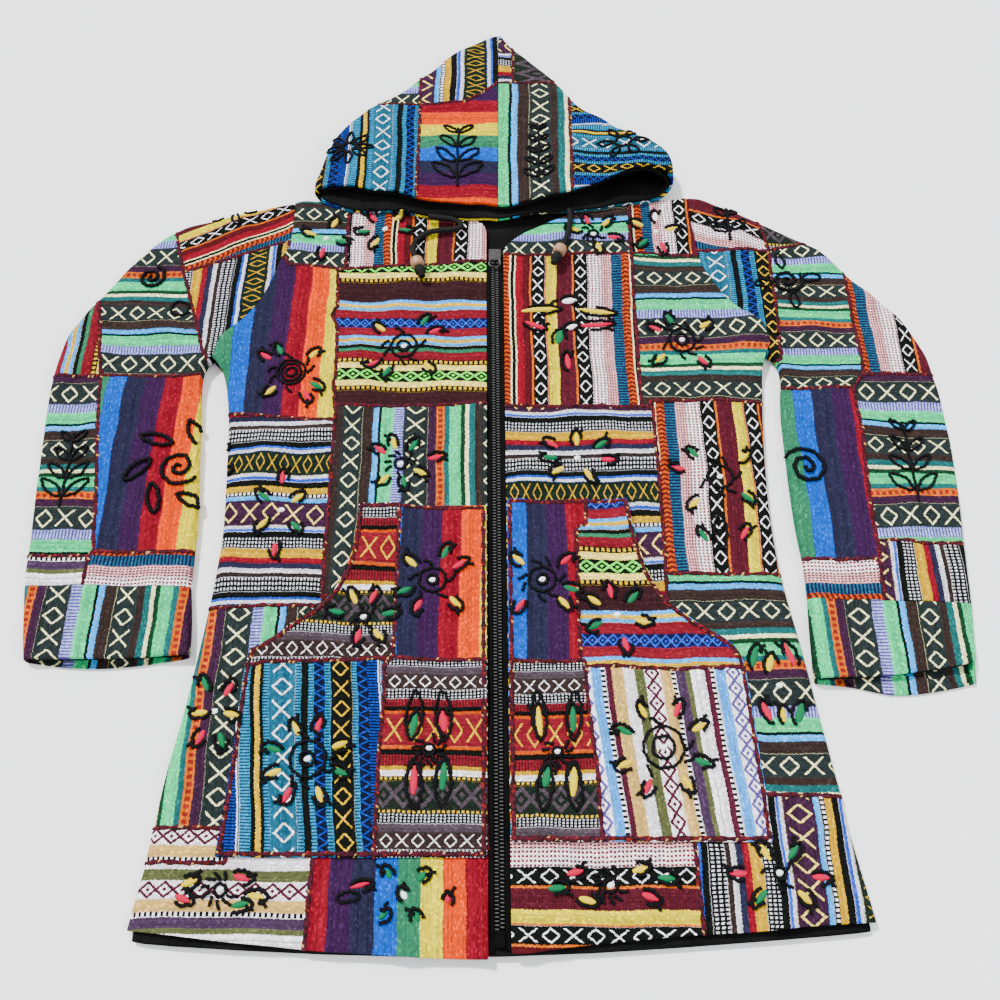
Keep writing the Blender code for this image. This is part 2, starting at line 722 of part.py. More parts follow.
def make_zip(black, metal):
    tape_near, tape_far = CHAIN_HALF + SEAM, ZIP_HALF - SEAM
    zip_strip("zip_tape_left", -tape_far, -tape_near, TAPE_LOW, TAPE_TOP, 4, ZIP_HEAD + 4, black)
    zip_strip("zip_tape_right", tape_near, tape_far, TAPE_LOW, TAPE_TOP, 6, ZIP_HEAD + 4, black)
    zip_strip("zip_chain", -CHAIN_HALF, CHAIN_HALF, CHAIN_LOW, CHAIN_TOP, ZIP_FOOT, ZIP_HEAD, black)
    box_half, box_length = 4.3, 12.0
    box = zip_strip(
        "zip_box", -box_half, box_half, CHAIN_LOW, CHAIN_TOP + 0.6,
        ZIP_FOOT - SEAM - box_length, ZIP_FOOT - SEAM, black,
    )
    soften = box.modifiers.new("soft_edges", "BEVEL")
    soften.width = 0.6 * MM
    soften.segments = 2
    make_slider(metal)
    make_pull_tab(metal)


def make_slider(material):
    """The slider: a channel over the chain, wider at its upper end, and a bail for the pull tab."""
    middle = zip_middle(PULL_AXIS_V)
    inner, flange_low = CHAIN_HALF + SEAM, TAPE_TOP + SEAM
    roof = CHAIN_TOP + SEAM
    rings = []
    for v, half_width in ((671.5, 5.7), (673, 6.2), (684, 6.9), (689, 7.0), (690.5, 6.4)):
        section = (
            (-half_width, flange_low), (-half_width, PLATE_TOP - 0.6), (-half_width + 0.6, PLATE_TOP),
            (half_width - 0.6, PLATE_TOP), (half_width, PLATE_TOP - 0.6), (half_width, flange_low),
            (inner, flange_low), (inner, roof), (-inner, roof), (-inner, flange_low),
        )
        rings.append([(middle + across, v, height) for across, height in section])
    slider = stack("zip_slider", rings, material)

    post = PULL_WIRE + BAIL_CLEAR
    arch_top = PULL_AXIS_Z + post + BAIL_WALL
    profile = (
        (-post - BAIL_WALL, PLATE_TOP - 0.5), (-post, PLATE_TOP - 0.5), (-post, PULL_AXIS_Z + post),
        (post, PULL_AXIS_Z + post), (post, PLATE_TOP - 0.5), (post + BAIL_WALL, PLATE_TOP - 0.5),
        (post + BAIL_WALL, arch_top - 0.5), (post + 0.4, arch_top), (-post - 0.4, arch_top),
        (-post - BAIL_WALL, arch_top - 0.5),
    )
    rings = [[(middle + across, PULL_AXIS_V + v, z) for v, z in profile] for across in (-1.5, 1.5)]
    bail = stack("bail_guide", rings, material)
    bail.hide_render = True
    bail.display_type = "WIRE"
    union = slider.modifiers.new("bail", "BOOLEAN")
    union.operation = "UNION"
    union.object = bail


def make_pull_tab(material):
    """An oval wire ring whose upper bar turns in the slider's bail."""
    outline = []
    reach, corner = PULL_WIDTH / 2, PULL_CORNER
    centres = ((reach - corner, -corner, 90), (reach - corner, corner - PULL_LENGTH, 0))
    centres += ((corner - reach, corner - PULL_LENGTH, -90), (corner - reach, -corner, -180))
    for across, along, start in centres:
        for step in range(5):
            angle = math.radians(start - 22.5 * step)
            outline.append((across + corner * math.cos(angle), along + corner * math.sin(angle)))
    curve = bpy.data.curves.new("pull_tab", "CURVE")
    curve.dimensions = "3D"
    curve.bevel_depth = PULL_WIRE * MM
    curve.bevel_resolution = 2
    spline = curve.splines.new("POLY")
    spline.points.add(len(outline) - 1)
    for knot, (across, along) in zip(spline.points, outline):
        knot.co = (across * MM, along * MM, 0.0, 1.0)
    spline.use_cyclic_u = True
    curve.materials.append(material)
    tab = bpy.data.objects.new("pull_tab", curve)
    tab.location = world(zip_middle(PULL_AXIS_V), PULL_AXIS_V, PULL_AXIS_Z)
    bpy.context.scene.collection.objects.link(tab)


def smooth_route(route, parts):
    """Points of a smooth curve through every point of a route."""
    ends = [tuple(2 * a - b for a, b in zip(route[0], route[1]))]
    tail = [tuple(2 * a - b for a, b in zip(route[-1], route[-2]))]
    chain = ends + list(route) + tail
    points = []
    for before, start, end, after in zip(chain, chain[1:], chain[2:], chain[3:]):
        for part in range(parts):
            t = part / parts
            points.append(tuple(
                0.5 * (2 * b + (c - a) * t + (2 * a - 5 * b + 4 * c - d) * t ** 2
                       + (3 * b - a - 3 * c + d) * t ** 3)
                for a, b, c, d in zip(before, start, end, after)
            ))
    return points + [route[-1]]


def lay_on_cloth(route):
    """A cord's route with its heights measured from the floor."""
    return [(u, v, max(body_top(u, v), bed(u, v)) + above) for u, v, above in route]


def make_drawcord(half, route, cord_material, bead_material):
    """A free end of the hood's drawcord, with its bead and end knot."""
    points = smooth_route(lay_on_cloth(route), 2)
    along = Vector(points[-1]) - Vector(points[-2])
    along.z = 0.0
    along.normalize()
    end = Vector(points[-1]) + along * 2
    points.append(tuple(end))
    curve = bpy.data.curves.new("drawcord_" + half["name"], "CURVE")
    curve.dimensions = "3D"
    curve.bevel_depth = CORD_RADIUS * MM
    curve.bevel_resolution = 2
    curve.use_fill_caps = True
    spline = curve.splines.new("POLY")
    spline.points.add(len(points) - 1)
    for knot, point in zip(spline.points, points):
        knot.co = (*world(*point), 1.0)
    curve.materials.append(cord_material)
    cord = bpy.data.objects.new("drawcord_" + half["name"], curve)
    bpy.context.scene.collection.objects.link(cord)

    start = end + along * SEAM
    turned("bead_" + half["name"], BEAD_PROFILE, start, along, bead_material)
    start = start + along * (BEAD_PROFILE[-1][0] + SEAM)
    turned("cord_knot_" + half["name"], KNOT_PROFILE, start, along, cord_material)


def turned(name, profile, start, along, material):
    """A round piece lying on its side, from a profile of (distance along, radius)."""
    side = Vector((-along.y, along.x, 0.0))
    rings = []
    for distance, radius in profile:
        centre = start + along * distance
        ring = []
        for step in range(16):
            angle = math.tau * step / 16
            point = centre + side * (radius * math.cos(angle)) + Vector((0, 0, radius * math.sin(angle)))
            ring.append(tuple(point))
        rings.append(ring)
    return stack(name, rings, material)


def clear_scene():
    for thing in list(bpy.data.objects):
        bpy.data.objects.remove(thing)


def build_jacket():
    clear_scene()
    patchwork = paint("striped_cotton", (0.16, 0.17, 0.17), 0.9)
    rainbow = paint("rainbow_cotton", (0.30, 0.12, 0.10), 0.9)
    teal = paint("teal_cotton", (0.08, 0.22, 0.27), 0.9)
    fleece = paint("black_fleece", (0.012, 0.012, 0.014), 1.0)
    tape = paint("black_zip", (0.02, 0.02, 0.022), 0.6)
    metal = paint("dark_metal", (0.10, 0.10, 0.11), 0.35, 1.0)
    braid = paint("black_braid", (0.015, 0.015, 0.017), 0.8)
    wood = paint("turned_wood", (0.42, 0.32, 0.22), 0.55)

    make_back(patchwork)
    make_lining(fleece)
    for half, route in ((LEFT, LEFT_ROUTE), (RIGHT, RIGHT_ROUTE)):
        make_front(half, patchwork)
        make_sleeve(half, teal)
        make_cuff(half, patchwork)
        make_sleeve_lining(half, fleece)
        make_pocket(half, rainbow)
        make_hood_half(half, teal)
        make_drawcord(half, route, braid, wood)
    make_hood_lining(fleece)
    make_zip(tape, metal)


build_jacket()
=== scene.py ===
"""A hooded patchwork jacket in handwoven cotton, zipped up and laid flat on a pale floor."""

import json
import math

import bmesh
import bpy
import numpy as np
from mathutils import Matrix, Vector
from mathutils.bvhtree import BVHTree

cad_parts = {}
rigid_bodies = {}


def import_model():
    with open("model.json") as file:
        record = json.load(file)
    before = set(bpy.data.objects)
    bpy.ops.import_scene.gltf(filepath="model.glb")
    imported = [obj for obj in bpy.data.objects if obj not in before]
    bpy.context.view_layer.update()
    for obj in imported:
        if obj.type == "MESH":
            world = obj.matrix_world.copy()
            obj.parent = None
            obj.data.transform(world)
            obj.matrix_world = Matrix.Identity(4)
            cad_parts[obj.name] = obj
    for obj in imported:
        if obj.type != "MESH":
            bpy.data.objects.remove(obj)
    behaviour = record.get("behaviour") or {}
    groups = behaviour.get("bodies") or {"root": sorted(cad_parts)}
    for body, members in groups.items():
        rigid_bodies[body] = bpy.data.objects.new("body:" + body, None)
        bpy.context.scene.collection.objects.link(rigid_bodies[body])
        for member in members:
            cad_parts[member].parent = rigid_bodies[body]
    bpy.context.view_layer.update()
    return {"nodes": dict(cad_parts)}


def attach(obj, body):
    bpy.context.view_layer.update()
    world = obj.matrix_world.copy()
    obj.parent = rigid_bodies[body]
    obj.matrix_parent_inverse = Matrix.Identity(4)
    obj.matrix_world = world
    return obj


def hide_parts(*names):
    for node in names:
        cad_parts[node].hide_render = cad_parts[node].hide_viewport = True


for leftover in list(bpy.data.objects):
    bpy.data.objects.remove(leftover)
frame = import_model()


# The camera looks down on the jacket from above its hem, and a soft sun stands at its upper left.
# The floor is a plain pale sheet that takes only a faint shadow round the cloth.
EYE = Vector((0.005, -0.552, 0.894))
photo_lens = bpy.data.cameras.new("photo_camera")
photo_lens.lens = 37.8
photo_lens.sensor_width = 36.0
camera = bpy.data.objects.new("photo_camera", photo_lens)
camera.location = EYE
looks_at = Vector((0.005, -0.110, 0.0))
camera.rotation_euler = (looks_at - camera.location).to_track_quat("-Z", "Y").to_euler()
bpy.context.scene.collection.objects.link(camera)
bpy.context.scene.camera = camera


def shine(name, kind, place, energy, spread):
    """A soft studio light that points at the middle of the jacket."""
    light = bpy.data.lights.new(name, kind)
    light.energy = energy
    if kind == "SUN":
        light.angle = spread
    else:
        light.shape = "DISK"
        light.size = spread
    lamp = bpy.data.objects.new(name, light)
    lamp.location = place
    lamp.rotation_euler = (-Vector(place)).to_track_quat("-Z", "Y").to_euler()
    bpy.context.scene.collection.objects.link(lamp)


shine("high_sun", "SUN", (-1.0, 1.1, 1.9), 6.0, 0.10)
shine("side_fill", "AREA", (1.6, -0.9, 1.7), 22.0, 1.4)
daylight = bpy.data.worlds.new("daylight")
daylight.use_nodes = True
daylight.node_tree.nodes["Background"].inputs["Color"].default_value = (0.95, 0.97, 1.0, 1.0)
daylight.node_tree.nodes["Background"].inputs["Strength"].default_value = 1.3
bpy.context.scene.world = daylight


def feed(tree, socket, value):
    """Links an input to another node's socket, or gives it a value."""
    if isinstance(value, bpy.types.NodeSocket):
        tree.links.new(value, socket)
    else:
        socket.default_value = value


def linked(tree, node, **inputs):
    """A new node and what its inputs are fed."""
    made = tree.nodes.new(node)
    for name, value in inputs.items():
        feed(tree, made.inputs[name.replace("_", " ")], value)
    return made


def reckon(tree, operation, *values):
    """One Math node; its values are numbers or sockets."""
    made = tree.nodes.new("ShaderNodeMath")
    made.operation = operation
    for socket, value in zip(made.inputs, values):
        feed(tree, socket, value)
    return made.outputs[0]


def mixed(tree, share, first, second):
    """A colour between two others."""
    made = tree.nodes.new("ShaderNodeMix")
    made.data_type = "RGBA"
    for place, value in ((0, share), (6, first), (7, second)):
        feed(tree, made.inputs[place], value)
    return made.outputs[2]


def finish_of(name, roughness, **settings):
    """A material and its Principled shader, with values that are the same all over."""
    material = bpy.data.materials.new(name)
    material.use_nodes = True
    shader = material.node_tree.nodes["Principled BSDF"]
    shader.inputs["Roughness"].default_value = roughness
    for setting, value in settings.items():
        shader.inputs[setting.replace("_", " ")].default_value = value
    return material, material.node_tree, shader


def add_mesh(name, points, faces, materials, body=None, slot=None, smooth=True):
    """A mesh piece from its points and faces, riding on a body."""
    mesh = bpy.data.meshes.new(name)
    mesh.from_pydata([tuple(p) for p in points], [], faces)
    for material in materials:
        mesh.materials.append(material)
    mesh.polygons.foreach_set("use_smooth", [smooth] * len(mesh.polygons))
    piece = bpy.data.objects.new(name, mesh)
    bpy.context.scene.collection.objects.link(piece)
    if body:
        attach(piece, body)
    return piece


pale_floor, tree, shader = finish_of("pale_floor", 0.9)
cloud = linked(tree, "ShaderNodeTexNoise", Scale=6.0, Detail=2.0).outputs["Fac"]
feed(tree, shader.inputs["Base Color"], mixed(tree, cloud, (0.93, 0.93, 0.93, 1.0), (0.95, 0.95, 0.95, 1.0)))
REACH, SUNK = 3.0, -0.0003
floor = add_mesh("floor", [(-REACH, -REACH, SUNK), (REACH, -REACH, SUNK), (REACH, REACH, SUNK),
                           (-REACH, REACH, SUNK)], [(0, 1, 2, 3)], [pale_floor])


# Drawcord: two free ends of a round braided black cord come out of the hood's hem by the zip,
# each through a turned wooden bead, and end in a knot of the same cord.
CORD_RADIUS = 0.0032
LEFT_CORD = ((-72, 730.6, 18.3), (-58, 729.4, 17.7), (-46, 727.6, 16.9), (-38.5, 723.8, 16.2),
             (-37, 718.5, 16.2), (-44, 714.6, 16.5), (-57, 713, 16.8), (-69, 710.5, 17.1),
             (-78.5, 704.5, 17.6), (-84.5, 696, 18.3), (-87, 685, 19.6), (-84, 674, 20.7))
RIGHT_CORD = ((79.4, 740.8, 17.4), (80.6, 732, 16.9), (79.6, 721, 17.2), (78, 710, 18.0),
              (75, 700, 19.2), (71, 690, 21.0))


def curve_through(route, parts):
    """Points of a smooth curve through a route given in millimetres on the garment."""
    knots = [Vector((u / 1000, (v - 510) / 1000, z / 1000)) for u, v, z in route]
    knots = [knots[0] * 2 - knots[1]] + knots + [knots[-1] * 2 - knots[-2]]
    points = []
    for a, b, c, d in zip(knots, knots[1:], knots[2:], knots[3:]):
        for part in range(parts):
            t = part / parts
            points.append(0.5 * (2 * b + (c - a) * t + (2 * a - 5 * b + 4 * c - d) * t ** 2
                                 + (3 * b - a - 3 * c + d) * t ** 3))
    return points + [knots[-2]]


def sweep(points, radius, sides, ripple=None):
    """A tube's points and faces along a line, with an optional ripple(ring, side) on its radius."""
    ring_points, faces = [], []
    up = Vector((0, 0, 1))
    for ring, point in enumerate(points):
        ahead = points[min(ring + 1, len(points) - 1)] - points[max(ring - 1, 0)]
        ahead.normalize()
        side = ahead.cross(up)
        side = side.normalized() if side.length > 0.05 else Vector((1, 0, 0))
        top = side.cross(ahead).normalized()
        for step in range(sides):
            angle = math.tau * step / sides
            here = radius * (ripple(ring, step) if ripple else 1.0)
            ring_points.append(point + side * (math.cos(angle) * here) + top * (math.sin(angle) * here))
    for ring in range(len(points) - 1):
        for step in range(sides):
            a, b = ring * sides + step, ring * sides + (step + 1) % sides
            faces.append((a, b, b + sides, a + sides))
    faces.append(tuple(range(sides - 1, -1, -1)))
    faces.append(tuple(range(len(ring_points) - sides, len(ring_points))))
    return ring_points, faces


def evenly(points, step):
    """The same line with a point about every step."""
    lengths = [0.0]
    for a, b in zip(points, points[1:]):
        lengths.append(lengths[-1] + (b - a).length)
    count = max(2, round(lengths[-1] / step))
    places = np.linspace(0.0, lengths[-1], count + 1)
    table = np.array([tuple(p) for p in points])
    return [Vector(p) for p in np.stack([np.interp(places, lengths, table[:, i]) for i in range(3)], 1)]


def texture(tree, kind, **settings):
    """A noise or a wave that lies still on its piece."""
    place = linked(tree, "ShaderNodeTexCoord").outputs["Object"]
    return linked(tree, "ShaderNodeTex" + kind, Vector=place, **settings).outputs["Fac"]


def grey_between(tree, shader, value, dark, light):
    """Gives a finish a grey that goes with a value from 0 to 1."""
    shade = linked(tree, "ShaderNodeMapRange", Value=value, To_Min=dark, To_Max=light)
    feed(tree, shader.inputs["Base Color"], shade.outputs[0])


def dress(piece, *finishes):
    """Gives a piece its materials in place of any that it had."""
    piece.data.materials.clear()
    for finish in finishes:
        piece.data.materials.append(finish)


black_braid, tree, shader = finish_of("black_braid", 0.7, Specular_IOR_Level=0.08)
grey_between(tree, shader, texture(tree, "Noise", Scale=900.0, Detail=2.0), 0.002, 0.014)
turned_wood, tree, shader = finish_of("turned_wood", 0.5)
grain = texture(tree, "Wave", Scale=260.0, Distortion=6.0, Detail=3.0)
browns = mixed(tree, grain, (0.20, 0.095, 0.045, 1.0), (0.38, 0.20, 0.11, 1.0))
feed(tree, shader.inputs["Base Color"], browns)

for half, route in (("left", LEFT_CORD), ("right", RIGHT_CORD)):
    line = curve_through(route, 8)
    last = line[-1] - line[-2]
    last.z = 0.0
    last.normalize()
    line = evenly(line + [line[-1] + last * 0.002], 0.0006)
    braid = sweep(line, CORD_RADIUS, 16,
                  lambda ring, side: 0.93 + 0.09 * math.cos(math.pi * side / 2)
                  * math.cos(math.tau * ring / 5.5))
    cord = add_mesh("cord_" + half, *braid, [black_braid], "jacket", "black_braid")
    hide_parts("drawcord_" + half)
    dress(frame["nodes"]["bead_" + half], turned_wood)
    dress(frame["nodes"]["cord_knot_" + half], black_braid)


# Handwoven cotton: narrow strips of striped cloth, some stripes plain and some with small woven
# figures such as hatching, crosses and diamonds. All the cloths share one thread and one set of
# figures. A colour ramp holds 32 places, so a cloth has at most 16 stripes.
def shared_group(name, inputs, outputs):
    """A group of shader nodes with its sockets, still empty."""
    group = bpy.data.node_groups.new(name, "ShaderNodeTree")
    for way, sockets in (("INPUT", inputs), ("OUTPUT", outputs)):
        for socket in sockets:
            group.interface.new_socket(socket, in_out=way, socket_type="NodeSocketFloat")
    return group


def grouped(tree, group, **inputs):
    """The outputs of a shared group, and what its inputs are fed."""
    made = tree.nodes.new("ShaderNodeGroup")
    made.node_tree = group
    for name, value in inputs.items():
        feed(tree, made.inputs[name], value)
    return made.outputs


woven_figures = shared_group("woven_figures", ("Local", "Kind", "Along", "Period"), ("Mask",))
FIGURES = ("plain", "hatch", "cross", "diamond", "zigzag", "dash", "half", "braid", "grid", "specks")


def draw_figures(tree):
    """The mask of each kind of figure, from the place across its stripe and along it."""
    given = tree.nodes.new("NodeGroupInput").outputs

    def do(operation, *values):
        return reckon(tree, operation, *values)

    turns = do("DIVIDE", given["Along"], given["Period"])
    step = do("FRACT", turns)
    middle = do("SUBTRACT", given["Local"], 0.5)
    off = do("ABSOLUTE", middle)
    near = do("ABSOLUTE", do("SUBTRACT", step, 0.5))
    wide = do("MULTIPLY", off, 2.78)
    cross = do("MULTIPLY", do("LESS_THAN", wide, 1.0),
               do("COMPARE", wide, do("MULTIPLY", near, 5.2), 0.15))
    round_it = do("SUBTRACT", 1.0, do("MULTIPLY", do("SUBTRACT", 0.5, near), 5.2))
    ring = do("MULTIPLY", do("GREATER_THAN", round_it, 0.0), do("COMPARE", wide, round_it, 0.15))
    twice = do("MULTIPLY", near, 2.0)
    broad = do("MULTIPLY", off, 2.5)
    outline = do("COMPARE", broad, do("SUBTRACT", 1.0, twice), 0.25)
    core = do("LESS_THAN", do("ADD", broad, twice), 0.3)
    slope = do("SUBTRACT", do("MULTIPLY", twice, 1.6), 0.8)
    rows = do("FRACT", do("MULTIPLY", given["Local"], 3.0))
    lines = do("FRACT", do("MULTIPLY", given["Local"], 4.0))
    masks = (
        None,
        do("LESS_THAN", step, 0.5),
        do("MAXIMUM", cross, ring),
        do("MAXIMUM", outline, core),
        do("COMPARE", do("MULTIPLY", middle, 1.6), slope, 0.25),
        do("MULTIPLY", do("LESS_THAN", step, 0.55), do("LESS_THAN", off, 0.28)),
        do("GREATER_THAN", given["Local"], 0.5),
        do("LESS_THAN", do("FRACT", do("ADD", turns, do("MULTIPLY", off, 0.8))), 0.5),
        do("SUBTRACT", 1.0, do("MULTIPLY", do("LESS_THAN", rows, 0.56), do("LESS_THAN", step, 0.52))),
        do("MULTIPLY", do("LESS_THAN", lines, 0.56), do("LESS_THAN", step, 0.66)),
    )
    total = 0.0
    for kind, mask in enumerate(masks):
        if mask:
            total = do("ADD", total, do("MULTIPLY", mask, do("COMPARE", given["Kind"], float(kind), 0.4)))
    result = tree.nodes.new("NodeGroupOutput")
    tree.links.new(total, result.inputs["Mask"])


draw_figures(woven_figures)

cotton_thread = shared_group("cotton_thread", ("Across", "Along"), ("Drift", "Shade", "Height"))
WEFT, WARP, STITCH = 1.1, 1.45, 2.1


def chance(tree, **cell):
    """A random value for each cell of a cloth, from 0 to 1."""
    cell = linked(tree, "ShaderNodeCombineXYZ", **cell)
    return linked(tree, "ShaderNodeTexWhiteNoise", Vector=cell.outputs[0]).outputs["Value"]


def spin_threads(tree):
    """Thick uneven threads: they shift a stripe's edge a little, vary its tone, stand up, and carry painted
    shade between them.
    """
    given = tree.nodes.new("NodeGroupInput").outputs

    def do(operation, *values):
        return reckon(tree, operation, *values)

    row = do("DIVIDE", given["Along"], WEFT)
    column = do("DIVIDE", given["Across"], WARP)
    own = chance(tree, X=do("FLOOR", row))
    yarn = chance(tree, Y=do("FLOOR", column))
    stitch = do("ADD", do("DIVIDE", given["Along"], STITCH), do("MULTIPLY", do("FLOOR", column), 0.5))
    fleck = chance(tree, X=do("FLOOR", stitch), Y=do("FLOOR", column))
    place = linked(tree, "ShaderNodeCombineXYZ", X=given["Across"], Y=given["Along"])
    wear = linked(tree, "ShaderNodeTexNoise", Vector=place.outputs[0], Scale=0.07, Detail=4.0)
    bed = do("POWER", do("ABSOLUTE", do("SINE", do("MULTIPLY", stitch, math.pi))), 0.6)
    side = do("ABSOLUTE", do("SINE", do("MULTIPLY", column, math.pi)))
    height = do("MULTIPLY", bed, side)
    shade = do("ADD", 0.22, do("MULTIPLY", yarn, 0.34))
    shade = do("ADD", shade, do("MULTIPLY", fleck, 0.44))
    # painted shade: the shade rises with each thread's height, so raised tops are painted lighter and the
    # gaps between threads darker
    shade = do("ADD", shade, do("MULTIPLY", height, 0.42))
    shade = do("ADD", shade, do("MULTIPLY", wear.outputs["Fac"], 0.30))
    shade = do("ADD", shade, do("MULTIPLY", do("GREATER_THAN", fleck, 0.92), 0.45))
    result = tree.nodes.new("NodeGroupOutput")
    tree.links.new(do("MULTIPLY", do("SUBTRACT", own, 0.5), 0.8), result.inputs["Drift"])
    tree.links.new(shade, result.inputs["Shade"])
    tree.links.new(do("ADD", height, do("MULTIPLY", fleck, 0.4)), result.inputs["Height"])


spin_threads(cotton_thread)


def dye(red, green, blue):
    """A colour as the eye reads it, in the linear numbers that a shader takes."""
    linear = [((c + 0.055) / 1.055) ** 2.4 if c > 0.04 else c / 12.92 for c in (red, green, blue)]
    return (*linear, 1.0)


YARN = {name: dye(*mix) for name, mix in {
    "mint": (.18, .72, .45), "sky": (.18, .58, .86),
    "haze": (.56, .62, .84), "charcoal": (.12, .15, .15), "brown": (.17, .13, .12),
    "plum": (.19, .097, .18), "orange": (.72, .34, .050), "rust": (.52, .13, .11),
    "sea": (.093, .34, .34), "cream": (.88, .87, .66), "fern": (.15, .41, .29),
    "azure": (.010, .30, .70), "ink": (.12, .12, .20), "grape": (.18, .088, .22),
    "crimson": (.46, .060, .12), "flame": (.78, .23, .030), "lemon": (.78, .71, .050),
    "black": (.053, .061, .053), "leaf": (.40, .84, .28), "sand": (.89, .80, .39),
    "gold": (.78, .62, .080), "cocoa": (.17, .086, .10), "wine": (.43, .087, .13),
    "navy": (.081, .064, .21), "cobalt": (.12, .28, .70), "pine": (.073, .12, .10),
    "mustard": (.70, .54, .060), "white": (.90, .88, .90), "teal": (.090, .31, .40),
    "frost": (.070, .50, .68), "slate": (.10, .21, .28), "night": (.052, .064, .14),
    "bluebell": (.060, .20, .56), "beige": (.72, .58, .32), "maroon": (.27, .093, .15),
    "violet": (.30, .26, .52), "cloud": (.24, .56, .86), "olive": (.30, .32, .19),
    "smoke": (.24, .17, .26), "amber": (.68, .25, .040), "brick": (.31, .086, .075),
    "rose": (.86, .62, .62), "garnet": (.34, .10, .14), "dusk": (.25, .21, .24),
    "claret": (.28, .072, .093), "bottle": (.087, .12, .095), "forest": (.073, .21, .13),
    "ash": (.76, .76, .79), "sun": (.84, .73, .010), "berry": (.72, .040, .22),
    "jade": (.050, .40, .24),
}.items()}


def ramp(tree, place, stops, blend):
    """A colour for every place from 0 to 1."""
    made = linked(tree, "ShaderNodeValToRGB", Fac=place)
    made.color_ramp.interpolation = blend
    elements = made.color_ramp.elements
    elements.remove(elements[1])
    elements[0].position, elements[0].color = stops[0]
    for position, colour in stops[1:]:
        elements.new(position).color = colour
    return made.outputs["Color"]


def cut_of(tree):
    """Where a place lies on the cloth that its piece was cut from, in metres: X across, Y along."""
    cut = linked(tree, "ShaderNodeUVMap")
    cut.uv_map = "Cloth"
    return linked(tree, "ShaderNodeSeparateXYZ", Vector=cut.outputs[0]).outputs


def shaded(tree, shader, colour, shade):
    """Gives a finish a colour made lighter or darker by a shade."""
    made = tree.nodes.new("ShaderNodeVectorMath")
    made.operation = "SCALE"
    feed(tree, made.inputs[0], colour)
    feed(tree, made.inputs["Scale"], shade)
    feed(tree, shader.inputs["Base Color"], made.outputs[0])


def raised(tree, shader, height, strength, depth):
    """Gives a finish fine relief of a depth in metres."""
    bump = linked(tree, "ShaderNodeBump", Strength=strength, Distance=depth, Height=height)
    feed(tree, shader.inputs["Normal"], bump.outputs[0])


def stripes_of(words):
    """A cloth's stripes: width in mm, ground yarn and, for a figure, its kind, yarn and repeat in mm."""
    stripes = []
    for stripe in (part.split() for part in words.split(",")):
        figure, yarn, period = stripe[2:] + ["plain", stripe[1], 2.6][len(stripe) - 2:]
        stripes.append((float(stripe[0]), stripe[1], figure, yarn, float(period)))
    return stripes


def striped_cotton(name, words):
    """Handwoven cloth from the words for its stripes."""
    material, tree, shader = finish_of(name, 0.9, Specular_IOR_Level=0.03)
    stripes = stripes_of(words)
    cut = cut_of(tree)
    across = reckon(tree, "MULTIPLY", cut["X"], 1000.0)
    along = reckon(tree, "MULTIPLY", cut["Y"], 1000.0)
    thread = grouped(tree, cotton_thread, Across=across, Along=along)
    repeat = sum(stripe[0] for stripe in stripes)
    across = reckon(tree, "ADD", across, thread["Drift"])
    share = reckon(tree, "FRACT", reckon(tree, "DIVIDE", across, repeat))
    grounds, marks, places = [], [], []
    start, kinds, longest, gap = 0.0, 10.0, 50.0, 0.0004
    for width, ground, figure, yarn, period in stripes:
        end = start + width / repeat
        kind = FIGURES.index(figure) / kinds
        grounds.append((start, YARN[ground]))
        marks.append((start, YARN[yarn]))
        places.append((start + (gap if start else 0.0), (0.0, kind, period / longest, 1.0)))
        places.append((end - gap, (1.0, kind, period / longest, 1.0)))
        start = end
    where = linked(tree, "ShaderNodeSeparateColor", Color=ramp(tree, share, places, "LINEAR")).outputs
    drawn = grouped(tree, woven_figures, Local=where["Red"], Along=along,
                    Kind=reckon(tree, "MULTIPLY", where["Green"], kinds),
                    Period=reckon(tree, "MULTIPLY", where["Blue"], longest))
    colour = mixed(tree, drawn["Mask"], ramp(tree, share, grounds, "CONSTANT"),
                   ramp(tree, share, marks, "CONSTANT"))
    shaded(tree, shader, colour, thread["Shade"])
    raised(tree, shader, thread["Height"], 0.55, 0.0005)
    return material


